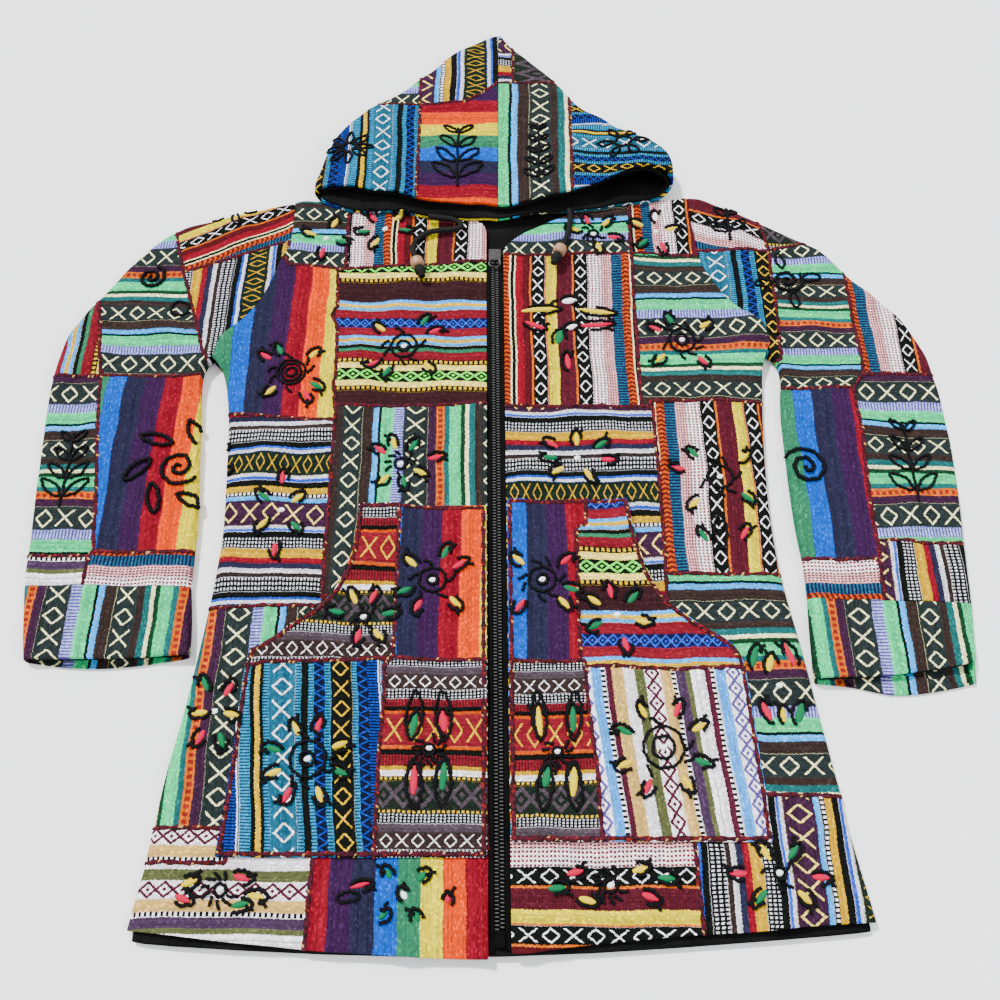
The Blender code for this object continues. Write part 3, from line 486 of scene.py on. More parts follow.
CLOTHS = {
    "charcoal": striped_cotton("charcoal_cotton", """
        6 brown, 20 charcoal cross cream 40, 10 brown, 5 sky, 3 black, 12 mint, 10 violet hatch haze 3,
        24 charcoal cross cream 40, 8 plum, 8 orange dash rust 6, 5 sea, 11 mint, 4 forest, 4 cream,
        6 sea"""),
    "rainbow": striped_cotton("rainbow_cotton", """
        18.3 ink, 18.3 grape, 18.3 crimson, 18.3 flame, 18.3 lemon, 18.3 fern, 18.3 azure"""),
    "chevron": striped_cotton("chevron_cotton", """
        12 navy diamond cobalt 9, 10 wine, 3.5 sky, 8 gold half sky, 8 black half fern, 9 wine,
        6 black dash gold 5, 7 sand, 13 black diamond leaf 14, 6 sand, 6 black dash gold 5, 24 cocoa,
        4 sky, 8 gold half sky, 10 wine"""),
    "plum": striped_cotton("plum_cotton", """
        9 ash half brown, 14 ash grid black 3.2, 5 black, 6 cobalt half ash, 24 pine cross mustard 22,
        7 ash half cobalt, 6 black, 6 mustard, 5 black dash white 4, 4 sky, 26 plum cross sand 40,
        6 ash half cobalt, 6 black, 11 ash grid black 3.2, 9 mustard, 11 crimson half ink"""),
    "teal": striped_cotton("teal_cotton", """
        9 night hatch bluebell, 3 white half teal, 9 frost hatch slate, 4 black, 4 gold, 3 black,
        5 frost hatch slate, 22 teal cross white 40, 5 frost hatch slate, 6 black, 5 frost hatch slate,
        9 night zigzag bluebell 9, 5 frost hatch slate, 18 black cross gold 36, 5 frost hatch slate,
        9 night zigzag bluebell 9"""),
    "cream": striped_cotton("cream_cotton", """
        14 white diamond maroon 14, 9 beige, 4 white hatch black 4.5, 8 smoke, 9 olive half white,
        7 white, 5 maroon, 4 white hatch black 4.5, 9 cloud, 14 white diamond violet 14, 8 cloud,
        4 white hatch black 4.5, 5 maroon, 10 beige, 10 white, 9 olive"""),
    "orange": striped_cotton("orange_cotton", """
        8 amber braid brick 5, 1.3 cream, 3.6 black, 1.3 cream, 8 crimson, 7 claret, 1.5 orange,
        14.5 black cross white 36, 1.5 orange, 10 lemon, 16 maroon hatch claret, 2 orange,
        14.5 black cross white 36, 14.5 white specks wine 3.2, 10 rose specks maroon 3.2,
        11 navy hatch teal 3.2"""),
    "crimson": striped_cotton("crimson_cotton", """
        8 ash grid black 3.2, 7 dusk, 15 brown cross white 26, 9 ash grid black 3.2,
        7 claret hatch wine, 4 black, 3 amber, 30 wine cross gold 34, 3 amber, 5 black,
        10 claret hatch wine, 4 mustard, 5 white, 4 pine dash gold 4, 25 bottle diamond dusk 16,
        4 pine dash gold 4"""),
}


# Fronts: each is pieced from patches of the striped cloths, lapped and overlocked together, and
# hangs from the shoulder yoke to the hem. The middle edges are sewn to the zip's tapes.
def box(left, top, right, bottom):
    """A rectangle's corners."""
    return (left, top), (right, top), (right, bottom), (left, bottom)


# each patch: cloth, way of its stripes, where they start in mm, outline and, for some, lean and scale
LEFT_FRONT = (
    ("charcoal", "level", 355.5, ((-240, 380), (-163, 380), (-163, 265), (-240, 278))),
    ("orange", "up", -248, ((-163, 380), (0, 380), (0, 277), (-163, 265))),
    ("chevron", "level", 337, ((-170, 265), (0, 277), (0, 98), (-162, 98))),
    ("rainbow", "up", -252, ((-300, 276), (-163, 265), (-172, 200), (-160, 80), (-300, 92))),
    ("plum", "level", 79.5, ((-300, 92), (-160, 80), (-160, -110), (-300, -112))),
    ("charcoal", "up", -159.5, box(-160, 98, 0, -100)),
    ("charcoal", "up_back", -155, box(-300, -110, -160, -302)),
    ("cream", "level", -303, box(-300, -303, -220, -330)),
    ("cream", "level", -344, ((-300, -330), (-150, -326), (-152, -410), (-300, -410))),
    ("rainbow", "up_back", -99.3, ((-150, -326), (0, -320), (0, -410), (-152, -410))),
)
RIGHT_FRONT = (
    ("charcoal", "level", 370, box(0, 380, 140, 285)),
    ("orange", "up_back", 277.5, box(140, 380, 260, 285)),
    ("orange", "up", 2, ((0, 285), (139, 288), (139, 97), (0, 97))),
    ("charcoal", "level", 405, ((139, 285), (300, 283), (300, 103), (139, 103))),
    ("plum", "level", 203, box(0, 97, 150, -115)),
    ("orange", "up_back", 285, box(148, 103, 300, -80)),
    ("charcoal", "level_back", -268, box(140, -80, 310, -277)),
    ("plum", "up_back", 344, ((157, -277), (310, -277), (310, -410), (160, -410))),
    ("orange", "level_back", -422, ((0, -316), (157, -316), (160, -410), (0, -410))),
)


# in millimetres: the zip's place across, the waist's along, the eye's along and high, the chest's height
ZIP_LINE, WAIST, EYE_BACK, EYE_HIGH, CHEST = 5, 110, 552, 894, 10


def flat_place(points):
    """Millimetres on the laid jacket: right of the zip and up from the waist."""
    return points[:, 0] * 1000 - ZIP_LINE, points[:, 1] * 1000 + WAIST


def seen_place(points):
    """The same, for what stands above the chest: as the eye over the hem carries it down to there."""
    carried = (EYE_HIGH - CHEST) / (EYE_HIGH - points[:, 2] * 1000)
    return ((points[:, 0] * 1000 - ZIP_LINE) * carried,
            (points[:, 1] * 1000 + EYE_BACK) * carried - (EYE_BACK - WAIST))


def numbers(owners, name, kind=np.int64, wide=1):
    """One setting of all the vertices, edges, faces or corners of a mesh."""
    found = np.empty(len(owners) * wide, kind)
    owners.foreach_get(name, found)
    return found


def inside_of(corners, x, y):
    """Which places lie in a patch's outline."""
    found = np.zeros(len(x), bool)
    for (ax, ay), (bx, by) in zip(corners, corners[1:] + corners[:1]):
        if ay != by:
            found ^= ((ay > y) != (by > y)) & (x < (bx - ax) * (y - ay) / (by - ay) + ax)
    return found


def away_from(corners, x, y):
    """How far places lie from a patch's outline."""
    best = np.full(len(x), 1e9)
    for (ax, ay), (bx, by) in zip(corners, corners[1:] + corners[:1]):
        long = max((bx - ax) ** 2 + (by - ay) ** 2, 1e-6)
        share = np.clip(((x - ax) * (bx - ax) + (y - ay) * (by - ay)) / long, 0, 1)
        best = np.minimum(best, np.hypot(x - ax - share * (bx - ax), y - ay - share * (by - ay)))
    return best


def cut_patches(work, patches, place):
    """Cuts a surface along the outlines of its patches and gives each face its patch's number."""
    sides = [(a, b) for patch in patches for a, b in zip(patch[3], patch[3][1:] + patch[3][:1])]
    clear, close, past = 5e-4, 0.0012, 3
    for a, b in sides + sides:
        start, end = (Vector(((x + ZIP_LINE) / 1000, (y - WAIST) / 1000, CHEST / 1000)) for x, y in (a, b))
        if place is seen_place:
            upright = (start - EYE).cross(end - EYE)
        else:
            upright = (end - start).cross((0, 0, 1))
        upright.normalize()
        long = math.dist(a, b)
        crossed = []
        for face in work.faces:
            gaps = [upright.dot(vert.co - start) for vert in face.verts]
            if min(gaps) < -clear and max(gaps) > clear:
                x, y = place(np.array([face.calc_center_median()]))
                share = ((x[0] - a[0]) * (b[0] - a[0]) + (y[0] - a[1]) * (b[1] - a[1])) / long ** 2
                if -past / long < share < 1 + past / long:
                    crossed.append(face)
        for vert in {vert for face in crossed for vert in face.verts}:
            gap = upright.dot(vert.co - start)
            if abs(gap) < close:
                vert.co -= upright * gap
        if crossed:
            parts = crossed + list({edge for face in crossed for edge in face.edges})
            parts += list({vert for face in crossed for vert in face.verts})
            bmesh.ops.bisect_plane(work, geom=parts, plane_co=start, plane_no=upright, dist=1e-5)
    work.faces.ensure_lookup_table()
    x, y = place(np.array([face.calc_center_median() for face in work.faces]))
    nearest = np.argmin([np.where(inside_of(p[3], x, y), 0, away_from(p[3], x, y)) for p in patches], 0)
    for face, patch in zip(work.faces, nearest):
        face.material_index = int(patch)


def smoothed_copy(node, level, keep_under=False, keep_inside=False, patches=(), place=flat_place):
    """The CAD piece's own surface, copied, cut into its patches and smoothed, without the faces
    that look into it."""
    work = bmesh.new()
    work.from_mesh(frame["nodes"][node].data)
    bmesh.ops.remove_doubles(work, verts=work.verts, dist=2e-5)
    bmesh.ops.recalc_face_normals(work, faces=work.faces)
    bmesh.ops.join_triangles(work, faces=work.faces, angle_face_threshold=0.6, angle_shape_threshold=1.2)
    work.normal_update()
    inside = BVHTree.FromBMesh(work)
    hidden = []
    for face in work.faces:
        look = face.normal
        hit = inside.ray_cast(face.calc_center_median() + look * 2e-4, look, 0.06)
        inward = hit[0] and hit[1].dot(look) < -0.7 and not keep_inside
        if inward or (look.z < -0.3 and not keep_under):
            hidden.append(face)
    bmesh.ops.delete(work, geom=hidden, context="FACES")
    if patches:
        cut_patches(work, patches, place)
    crease = work.edges.layers.float.get("crease_edge") or work.edges.layers.float.new("crease_edge")
    for edge in work.edges:
        if len(edge.link_faces) == 2:
            if edge.calc_face_angle(0.0) > 0.8:
                edge[crease] = 0.75
            elif edge.link_faces[0].material_index != edge.link_faces[1].material_index:
                edge[crease] = 0.95
    mesh = bpy.data.meshes.new(node + "_cloth")
    work.to_mesh(mesh)
    work.free()
    piece = bpy.data.objects.new(node + "_cloth", mesh)
    bpy.context.scene.collection.objects.link(piece)
    smooth = piece.modifiers.new("smooth", "SUBSURF")
    smooth.levels = smooth.render_levels = level
    done = bpy.data.meshes.new_from_object(piece.evaluated_get(bpy.context.evaluated_depsgraph_get()))
    piece.modifiers.clear()
    piece.data = done
    if patches:
        piece_together(piece, patches, place)
    done.polygons.foreach_set("use_smooth", [True] * len(done.polygons))
    rumple(piece)
    return piece


waves = np.random.default_rng(11)
RUMPLES = [(waves.uniform(0, math.pi), waves.uniform(0.022, 0.105), waves.uniform(0, math.tau))
           for _ in range(26)]


def crumple(x, y):
    """How far the laid cloth stands above its plain form, in metres: soft dents and small ridges."""
    total = 0.0
    for turn, length, phase in RUMPLES:
        wave = np.sin(math.tau * (x * math.cos(turn) + y * math.sin(turn)) / length + phase
                      + 1.5 * np.sin(17 * x - 13 * y + phase))
        total = total + wave * length * 0.0068
    return np.maximum(total, 0.3 * total - 0.0006)


def rumple(piece):
    """Moves the upper side of a laid piece by the cloth's small dents and ridges."""
    mesh = piece.data
    points = numbers(mesh.vertices, "co", float, 3).reshape(-1, 3)
    lift = np.clip((points[:, 2] - 0.003) / 0.006, 0, 1)
    points[:, 2] += crumple(points[:, 0], points[:, 1]) * lift * lift
    points[:, 2] = np.maximum(points[:, 2], 0.0)
    mesh.vertices.foreach_set("co", points.ravel())
    mesh.update()


def piece_together(piece, patches, place):
    """Gives every face the cloth of its patch, and lays the cloth's own map on it in metres."""
    mesh = piece.data
    own = numbers(mesh.polygons, "material_index")
    mesh.attributes.new("patch", "INT", "FACE").data.foreach_set("value", own)
    names = sorted({patch[0] for patch in patches})
    dress(piece, *(CLOTHS[name] for name in names))
    mesh.polygons.foreach_set("material_index", np.array([names.index(p[0]) for p in patches])[own])
    x, y = place(numbers(mesh.vertices, "co", float, 3).reshape(-1, 3))
    x = x + 0.8 * np.sin(y / 31 + x / 57) + 0.35 * np.sin(y / 9.5 + x / 23)
    y = y + 0.8 * np.sin(x / 37 + y / 49) + 0.35 * np.sin(x / 10.5 + y / 27)
    corners = numbers(mesh.loops, "vertex_index")
    own = np.repeat(own, numbers(mesh.polygons, "loop_total"))
    x, y = x[corners], y[corners]
    laid = np.empty((len(corners), 2))
    for index, (_, way, start, _, *more) in enumerate(patches):
        lean, scale = more + [0.0, 1.0][len(more):]
        across = {"up": x - start, "up_back": start - x,
                  "level": start - y, "level_back": y - start}[way]
        along = y if way.startswith("up") else x
        mine = own == index
        laid[mine, 0] = ((across + lean * along) / scale / 1000)[mine]
        laid[mine, 1] = (along / 1000 + index * 0.013)[mine]
    mesh.uv_layers.new(name="Cloth").data.foreach_set("uv", laid.ravel())


def laid_sheet(piece, node):
    """Hides a cloth piece's CAD node and puts the piece on the jacket's body."""
    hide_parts(node)
    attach(piece, "jacket")


overlock, tree, shader = finish_of("overlock_thread", 0.85, Specular_IOR_Level=0.05)
cut = cut_of(tree)
skew = reckon(tree, "ADD", cut["Y"], reckon(tree, "MULTIPLY", cut["X"], 0.6))
turns = reckon(tree, "DIVIDE", skew, 0.0019)
pick = chance(tree, X=reckon(tree, "FLOOR", turns),
              Y=reckon(tree, "FLOOR", reckon(tree, "DIVIDE", cut["X"], 0.0022)))
threads = ramp(tree, pick, [
    (0.0, YARN["maroon"]), (0.36, YARN["cocoa"]), (0.62, YARN["garnet"]), (0.80, YARN["brick"]),
    (0.92, YARN["rust"]), (0.97, YARN["beige"])], "CONSTANT")
# Each stitch is painted lighter along its crest and darker between stitches: painted shade that follows the
# same ridges as the bump.
stitch = reckon(tree, "ABSOLUTE", reckon(tree, "SINE", reckon(tree, "MULTIPLY", turns, math.pi)))
shaded(tree, shader, threads, reckon(tree, "ADD", 0.55, reckon(tree, "MULTIPLY", stitch, 0.6)))
raised(tree, shader, stitch, 0.8, 0.0006)
SEAM_SHAPE = ((-2.1, -0.5), (-1.8, 0.4), (-0.8, 0.9), (0.5, 0.95), (1.5, 0.55), (2.0, -0.5))


def chains_of(links):
    """Unbranched lines of linked points."""
    beside = {}
    for a, b in links:
        beside.setdefault(a, set()).add(b)
        beside.setdefault(b, set()).add(a)
    found = []
    starts = [a for a, others in beside.items() if len(others) != 2] + list(beside)
    for start in starts:
        while beside[start]:
            line = [start]
            while beside[line[-1]]:
                after = min(beside[line[-1]])
                beside[line[-1]].discard(after)
                beside[after].discard(line[-1])
                line.append(after)
                if len(beside[after]) != 1:
                    break
            found.append(line)
    return found


def seam_links(piece):
    """The edges of a piece's upper side where two patches meet."""
    mesh = piece.data
    own = np.repeat(numbers(mesh.attributes["patch"].data, "value"), numbers(mesh.polygons, "loop_total"))
    sides = numbers(mesh.loops, "edge_index")
    low, high = np.full(len(mesh.edges), 999), np.full(len(mesh.edges), -1)
    np.minimum.at(low, sides, own)
    np.maximum.at(high, sides, own)
    ends = numbers(mesh.edges, "vertices", wide=2).reshape(-1, 2)
    return [tuple(pair) for pair in ends[low != high].tolist()
            if min(mesh.vertices[i].normal.z for i in pair) > 0.3]


def rim_links(piece):
    """The edges round a piece that is open below."""
    mesh = piece.data
    open_edges = np.nonzero(np.bincount(numbers(mesh.loops, "edge_index"), minlength=len(mesh.edges)) == 1)[0]
    return [tuple(mesh.edges[i].vertices) for i in open_edges]


def lay_ribbons(name, lines, shape, step=0.0016, uneven=0.12):
    """Narrow sewn bands along lines of (place, normal), in one mesh."""
    points, faces, laid = [], [], []
    turn = 0
    for places, normals in lines:
        lengths = np.concatenate([[0.0], np.cumsum(np.linalg.norm(np.diff(places, axis=0), axis=1))])
        if lengths[-1] < 0.004:
            continue
        marks = np.linspace(0, lengths[-1], max(2, round(lengths[-1] / step)) + 1)
        line = np.stack([np.interp(marks, lengths, places[:, i]) for i in range(3)], 1)
        up = np.stack([np.interp(marks, lengths, normals[:, i]) for i in range(3)], 1)
        ahead = np.gradient(line, axis=0)
        across = np.cross(ahead, up)
        across /= np.maximum(np.linalg.norm(across, axis=1, keepdims=True), 1e-9)
        turn += 1
        wobble = 1 + uneven * np.sin(marks * 1900 + turn) + uneven * np.sin(marks * 730 + 2 * turn)
        first = len(points)
        for out, rise in shape:
            drift = 0.0004 * np.sin(marks * 410 + turn * 1.7 + out)
            points.extend(line + across * (out / 1000 * wobble + drift)[:, None]
                          + up * (rise / 1000 * (wobble if rise > 0 else 1 + 0 * wobble))[:, None])
        rings = len(marks)
        for side in range(len(shape) - 1):
            for ring in range(rings - 1):
                a, b = first + side * rings + ring, first + (side + 1) * rings + ring
                faces.append((a, b, b + 1, a + 1))
                for column, row in ((side, ring), (side + 1, ring), (side + 1, ring + 1),
                                    (side, ring + 1)):
                    laid.append((shape[column][0] / 1000, marks[row] + turn * 0.37))
    piece = add_mesh(name, points, faces, [overlock], "jacket", "striped_cotton")
    piece.data.uv_layers.new(name="Cloth").data.foreach_set("uv", np.array(laid).ravel())
    return piece


def overlocked(piece, rim=0.0):
    """Overlocks the seams between a piece's patches and, where asked, its edge too."""
    mesh = piece.data
    lines = []
    for chain in chains_of(seam_links(piece)):
        lines.append((np.array([mesh.vertices[i].co for i in chain]),
                      np.array([mesh.vertices[i].normal for i in chain])))
    if rim:
        cover = BVHTree.FromPolygons([v.co for v in mesh.vertices],
                                     [tuple(face.vertices) for face in mesh.polygons])
        middle = sum((Vector(c) for c in piece.bound_box), Vector()) / 8
        for chain in chains_of(rim_links(piece)):
            places, ups = [], []
            for before, here, after in zip([chain[0]] + chain, chain, chain[1:] + [chain[-1]]):
                side = (mesh.vertices[after].co - mesh.vertices[before].co).cross(Vector((0, 0, 1)))
                here = mesh.vertices[here].co
                side = side.normalized() * (rim if side.dot(middle - here) > 0 else -rim)
                hit = cover.ray_cast(Vector((here.x + side.x, here.y + side.y, 0.1)), Vector((0, 0, -1)))
                if hit[0]:
                    places.append(tuple(hit[0]))
                    ups.append(tuple(hit[1]))
            if len(places) > 3:
                lines.append((np.array(places), np.array(ups)))
    return lay_ribbons(piece.name.replace("_cloth", "_seams"), lines, SEAM_SHAPE)


for half, patches in (("left", LEFT_FRONT), ("right", RIGHT_FRONT)):
    front = smoothed_copy("front_" + half, 3, patches=patches)
    laid_sheet(front, "front_" + half)
    overlocked(front)


# Pockets: two big patch pockets, each pieced like the fronts and topstitched on over them, with a
# slanting, curved mouth at the side.
LEFT_POCKET = (
    ("crimson", "level", 13, ((-235, -5), (-93, -5), (-93, -160), (-235, -165))),
    ("rainbow", "up", -91, box(-93, -5, 0, -160)),
    ("teal", "up", -254, ((-235, -165), (-100, -165), (-102, -340), (-235, -340)), 0.1),
    ("crimson", "level", -160, ((-100, -160), (0, -160), (0, -340), (-102, -340)), 0.0, 0.93),
)
RIGHT_POCKET = (
    ("rainbow", "up", 24, ((0, 0), (80, 0), (80, -33), (70, -33), (70, -162), (0, -162))),
    ("chevron", "level", -3.5, ((80, 0), (240, 0), (240, -168), (74, -168), (70, -162), (70, -33),
                                (80, -33))),
    ("cream", "up", 107.5, ((74, -168), (240, -168), (240, -330), (84, -330)), 0.1),
    ("crimson", "level", -165, ((0, -162), (74, -162), (84, -330), (0, -330)), 0.0, 0.91),
)
for half, patches in (("left", LEFT_POCKET), ("right", RIGHT_POCKET)):
    pocket = smoothed_copy("pocket_" + half, 3, patches=patches)
    laid_sheet(pocket, "pocket_" + half)
    overlocked(pocket, rim=0.0026)


# Sleeves and cuffs: pieced tubes set into the armholes and laid flat beside the body, each ending
# in a plain band cut across the charcoal cloth.
LEFT_SLEEVE = (
    ("orange", "level_back", 302, ((-348, 320), (-333, 262), (-228, 300), (-210, 330), (-200, 430),
                                   (-360, 430)), -0.5),
    ("charcoal", "level", 361, ((-430, 345), (-348, 330), (-333, 262), (-297, 155), (-296, 133),
                                (-398, 133), (-415, 225))),
    ("chevron", "up", -460, ((-470, 230), (-415, 225), (-398, 133), (-470, 133))),
    ("plum", "up", -457, ((-333, 262), (-228, 300), (-218, 150), (-297, 155))),
    ("rainbow", "up", -371, ((-398, 133), (-270, 133), (-270, -58), (-372, -58))),
    ("charcoal", "level_back", 34, ((-480, 133), (-398, 133), (-372, -58), (-376, -62), (-480, -62))),
    ("cream", "level", -40, box(-480, -62, -376, -105)),
    ("orange", "level_back", -186, box(-376, -58, -270, -105)),
)
RIGHT_SLEEVE = (
    ("orange", "level", 492, ((175, 420), (262, 420), (285, 290), (190, 290)), -0.35),
    ("crimson", "level", 440, ((262, 420), (380, 420), (362, 310), (285, 290))),
    ("teal", "up", 180, ((190, 290), (285, 290), (283, 150), (190, 140))),
    ("charcoal", "level_back", 224, ((285, 290), (362, 310), (362, 135), (350, 118), (270, 118),
                                     (283, 150)), 0.0, 0.85),
    ("orange", "up_back", 493, box(362, 330, 480, 135)),
    ("rainbow", "up", 307, ((250, 118), (350, 118), (347, -65), (250, -65))),
    ("charcoal", "level_back", 36, ((350, 135), (480, 135), (480, -48), (347, -48))),
    ("orange", "level", 25.5, box(250, -65, 345, -120)),
    ("plum", "up", 243.5, box(345, -48, 480, -120)),
)
for half, patches, start in (("left", LEFT_SLEEVE, -319), ("right", RIGHT_SLEEVE, 399)):
    sleeve = smoothed_copy("sleeve_" + half, 3, keep_under=True, patches=patches)
    laid_sheet(sleeve, "sleeve_" + half)
    overlocked(sleeve)
    cuff = smoothed_copy("cuff_" + half, 3, keep_under=True, patches=(
        ("charcoal", "up_back", start, ((-600, -600), (600, -600), (600, 600), (-600, 600))),))
    laid_sheet(cuff, "cuff_" + half)


# Hood: two pieced halves joined along the middle from the mouth to the peak, lying folded open
# above the neck. Its patches are placed as they are seen from above the hem.
LEFT_HOOD = (
    ("teal", "up", -181, ((-230, 300), (-92, 300), (-92, 505), (-230, 505))),
    ("charcoal", "level", 590, ((-230, 505), (-92, 505), (-92, 560), (-230, 560))),
    ("plum", "up_back", 24, ((-95, 660), (10, 660), (10, 540), (-3, 540), (-40, 508), (-92, 505)), 0.0, 1.15),
    ("rainbow", "level", 548, ((-92, 505), (-40, 508), (-3, 540), (20, 540), (20, 300), (-92, 300))),
)
RIGHT_HOOD = (
    ("charcoal", "up_back", 66, box(-20, 540, 80, 340), 0.0, 1.28),
    ("crimson", "up", -236, ((15, 595), (80, 610), (80, 540), (15, 540)), 0.0, 2.2),
    ("plum", "level", 700, ((-20, 700), (80, 700), (80, 595), (15, 595), (15, 540), (-20, 540))),
    ("teal", "level", 481, ((80, 300), (240, 300), (240, 620), (80, 620)), 0.0, 0.75),
)
for half, patches in (("left", LEFT_HOOD), ("right", RIGHT_HOOD)):
    hood = smoothed_copy("hood_" + half, 3, keep_under=True, patches=patches, place=seen_place)
    laid_sheet(hood, "hood_" + half)
    overlocked(hood)


# Back: one pieced panel that the whole jacket lies on. Its patches are larger, and its side seams
# meet those of the fronts.
BACK = (
    ("charcoal", "level", 355, box(-320, 420, -80, 220)),
    ("plum", "up", -80, box(-80, 420, 90, 220)),
    ("orange", "level", 370, box(90, 420, 320, 220)),
    ("rainbow", "up", -320, box(-320, 220, -100, -20)),
    ("chevron", "level", 220, box(-100, 220, 100, -20)),
    ("teal", "up", 100, box(100, 220, 320, -20)),
    ("crimson", "level", -20, box(-320, -20, -90, -230)),
    ("charcoal", "up", -90, box(-90, -20, 110, -230)),
    ("rainbow", "level", -20, box(110, -20, 320, -230)),
    ("orange", "up", -320, box(-320, -230, -100, -420)),
    ("plum", "level", -230, box(-100, -230, 100, -420)),
    ("cream", "up", 100, box(100, -230, 320, -420)),
)
back = smoothed_copy("back", 2, keep_under=True, patches=BACK)
for vert in back.data.vertices:
    if vert.co.y < -0.45:
        vert.co.y += 0.0045
laid_sheet(back, "back")


# Linings: soft black fleece inside the body, the sleeves and the hood. It shows at the neck, in
# the hood's mouth, at the cuffs and as a narrow edge under the hem.
black_fleece, tree, shader = finish_of("black_fleece", 0.95, Specular_IOR_Level=0.02)
pile = texture(tree, "Noise", Scale=520.0, Detail=4.0)
worn = texture(tree, "Noise", Scale=22.0, Detail=2.0)
grey_between(tree, shader, reckon(tree, "MULTIPLY", pile, worn), 0.001, 0.022)
raised(tree, shader, pile, 0.7, 0.001)
CLEAR_OF_CLOTH = 0.0016
for node, flat, area in (("lining", (0.60, 0.78), 0.39), ("sleeve_lining_left", (0.17, 0.50), 0.068),
                         ("sleeve_lining_right", (0.17, 0.50), 0.068), ("hood_lining", (0.5, 0.36), 0.15)):
    fleece = smoothed_copy(node, 1, keep_under=True, keep_inside=True)
    dress(fleece, black_fleece)
    for vert in fleece.data.vertices:
        vert.co.z -= min(CLEAR_OF_CLOTH, max(0.0, vert.co.z - 0.004))
    laid_sheet(fleece, node)


# Zip: a black moulded chain on woven tapes, sewn between the fronts, with an open-end box at the
# hem and a dark metal slider at the neck whose pull tab swings.
zip_black, tree, shader = finish_of("zip_black", 0.7, Specular_IOR_Level=0.03)
ribs = texture(tree, "Wave", Scale=420.0, Distortion=0.4)
ribs.node.bands_direction = "DIAGONAL"
dust = texture(tree, "Noise", Scale=60.0, Detail=3.0)
# The tape's black is painted darker in the grooves between its twill ribs, a painted shade that follows the
# same waves as its bump; the dust noise varies its tone at random.
grey_between(tree, shader, reckon(tree, "MULTIPLY", ribs, dust), 0.001, 0.008)
raised(tree, shader, ribs, 0.4, 0.0003)
tooth_black, tree, shader = finish_of("tooth_black", 0.22, Specular_IOR_Level=1.0)
polish = texture(tree, "Noise", Scale=210.0, Detail=2.0)
grey_between(tree, shader, polish, 0.004, 0.05)
raised(tree, shader, polish, 0.5, 0.0004)
dark_metal, tree, shader = finish_of("dark_metal", 0.34, Metallic=1.0)
rub = texture(tree, "Noise", Scale=240.0, Detail=4.0)
greys = mixed(tree, rub, (0.018, 0.018, 0.020, 1.0), (0.12, 0.115, 0.11, 1.0))
feed(tree, shader.inputs["Base Color"], greys)
for node, finish in (("zip_tape_left", zip_black), ("zip_tape_right", zip_black), ("zip_box", zip_black),
                     ("zip_slider", dark_metal), ("pull_tab", dark_metal)):
    dress(frame["nodes"][node], finish)

TOOTH = ((-1.9, -0.52), (-1.7, -0.62), (1.5, -0.62), (1.9, -0.30), (1.9, 0.30), (1.5, 0.62), (-1.7, 0.62),
         (-1.9, 0.52))
TEETH, LOWEST_TOOTH, TOOTH_STEP = 447, 20.8, 1.5
points, faces = [], []
sides = len(TOOTH)
for count in range(TEETH):
    v = LOWEST_TOOTH + TOOTH_STEP * count
    way = 1 if count % 2 else -1
    first = len(points)
    for level, share in ((8.8, 1.0), (10.7, 1.0), (11.35, 0.72)):
        for along, side in TOOTH:
            u = 5 - 6 * v / 740 + way * (2.1 - along * share)
            points.append((u / 1000, (v + side * share - 510) / 1000, level / 1000))
    for ring in (first, first + sides):
        for step in range(sides):
            a, b = ring + step, ring + (step + 1) % sides
            faces.append((a, b, b + sides, a + sides) if way < 0 else (b, a, a + sides, b + sides))
    cap = tuple(range(first + 2 * sides, first + 3 * sides))
    faces.append(cap if way < 0 else cap[::-1])
teeth = add_mesh("zip_teeth", points, faces, [tooth_black], "jacket", "black_zip", smooth=False)
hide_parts("zip_chain")


# Embroidery: flowers and suns worked over the finished patches by hand, in thick black chain-stitched
# yarn with small satin-stitched leaves in bright cotton.
def embroidery_yarn(name, colour, shade):
    """Yarn with fine light and dark strands."""
    material, tree, shader = finish_of(name, 0.65, Specular_IOR_Level=0.06)
    strands = texture(tree, "Noise", Scale=1100.0, Detail=2.0)
    tone = linked(tree, "ShaderNodeMapRange", Value=strands, To_Min=1.0 - shade, To_Max=1.0 + shade)
    dyed = tree.nodes.new("ShaderNodeRGB")
    dyed.outputs[0].default_value = colour
    shaded(tree, shader, dyed.outputs[0], tone.outputs[0])
    raised(tree, shader, strands, 0.6, 0.0004)
    return material


SATIN = {"y": embroidery_yarn("yellow_satin", YARN["sun"], 0.12),
         "r": embroidery_yarn("red_satin", YARN["berry"], 0.2),
         "g": embroidery_yarn("green_satin", YARN["jade"], 0.2),
         "w": embroidery_yarn("white_satin", dye(.95, .95, .95), 0.1)}
black_yarn = embroidery_yarn("black_yarn", (0.0035, 0.0035, 0.0045, 1.0), 0.5)

corners, faces = [], []
for piece in bpy.context.scene.objects:
    if piece.name.endswith("_cloth") and piece.name.split("_")[0] in ("front", "pocket", "sleeve", "hood"):
        faces += [tuple(i + len(corners) for i in f.vertices) for f in piece.data.polygons]
        corners += [v.co.copy() for v in piece.data.vertices]
cover = BVHTree.FromPolygons(corners, faces)


def on_cloth(x, y, lift=0.0, high=0.0):
    """The point of the jacket's upper side at a place in millimetres; high is how far above the
    chest the place stands where it was given as seen."""
    eye_over, eye_back = EYE_HIGH - CHEST, EYE_BACK - WAIST
    carried = (eye_over - high) / eye_over if high else 1.0
    spot = Vector(((x * carried + ZIP_LINE) / 1000,
                   ((y + eye_back) * carried - eye_back - WAIST) / 1000, 0.1))
    hit = cover.ray_cast(spot, Vector((0, 0, -1)))
    return (hit[0] + hit[1] * lift) if hit[0] else None


sewn_points, sewn_faces = [], []
satin = {colour: ([], []) for colour in SATIN}


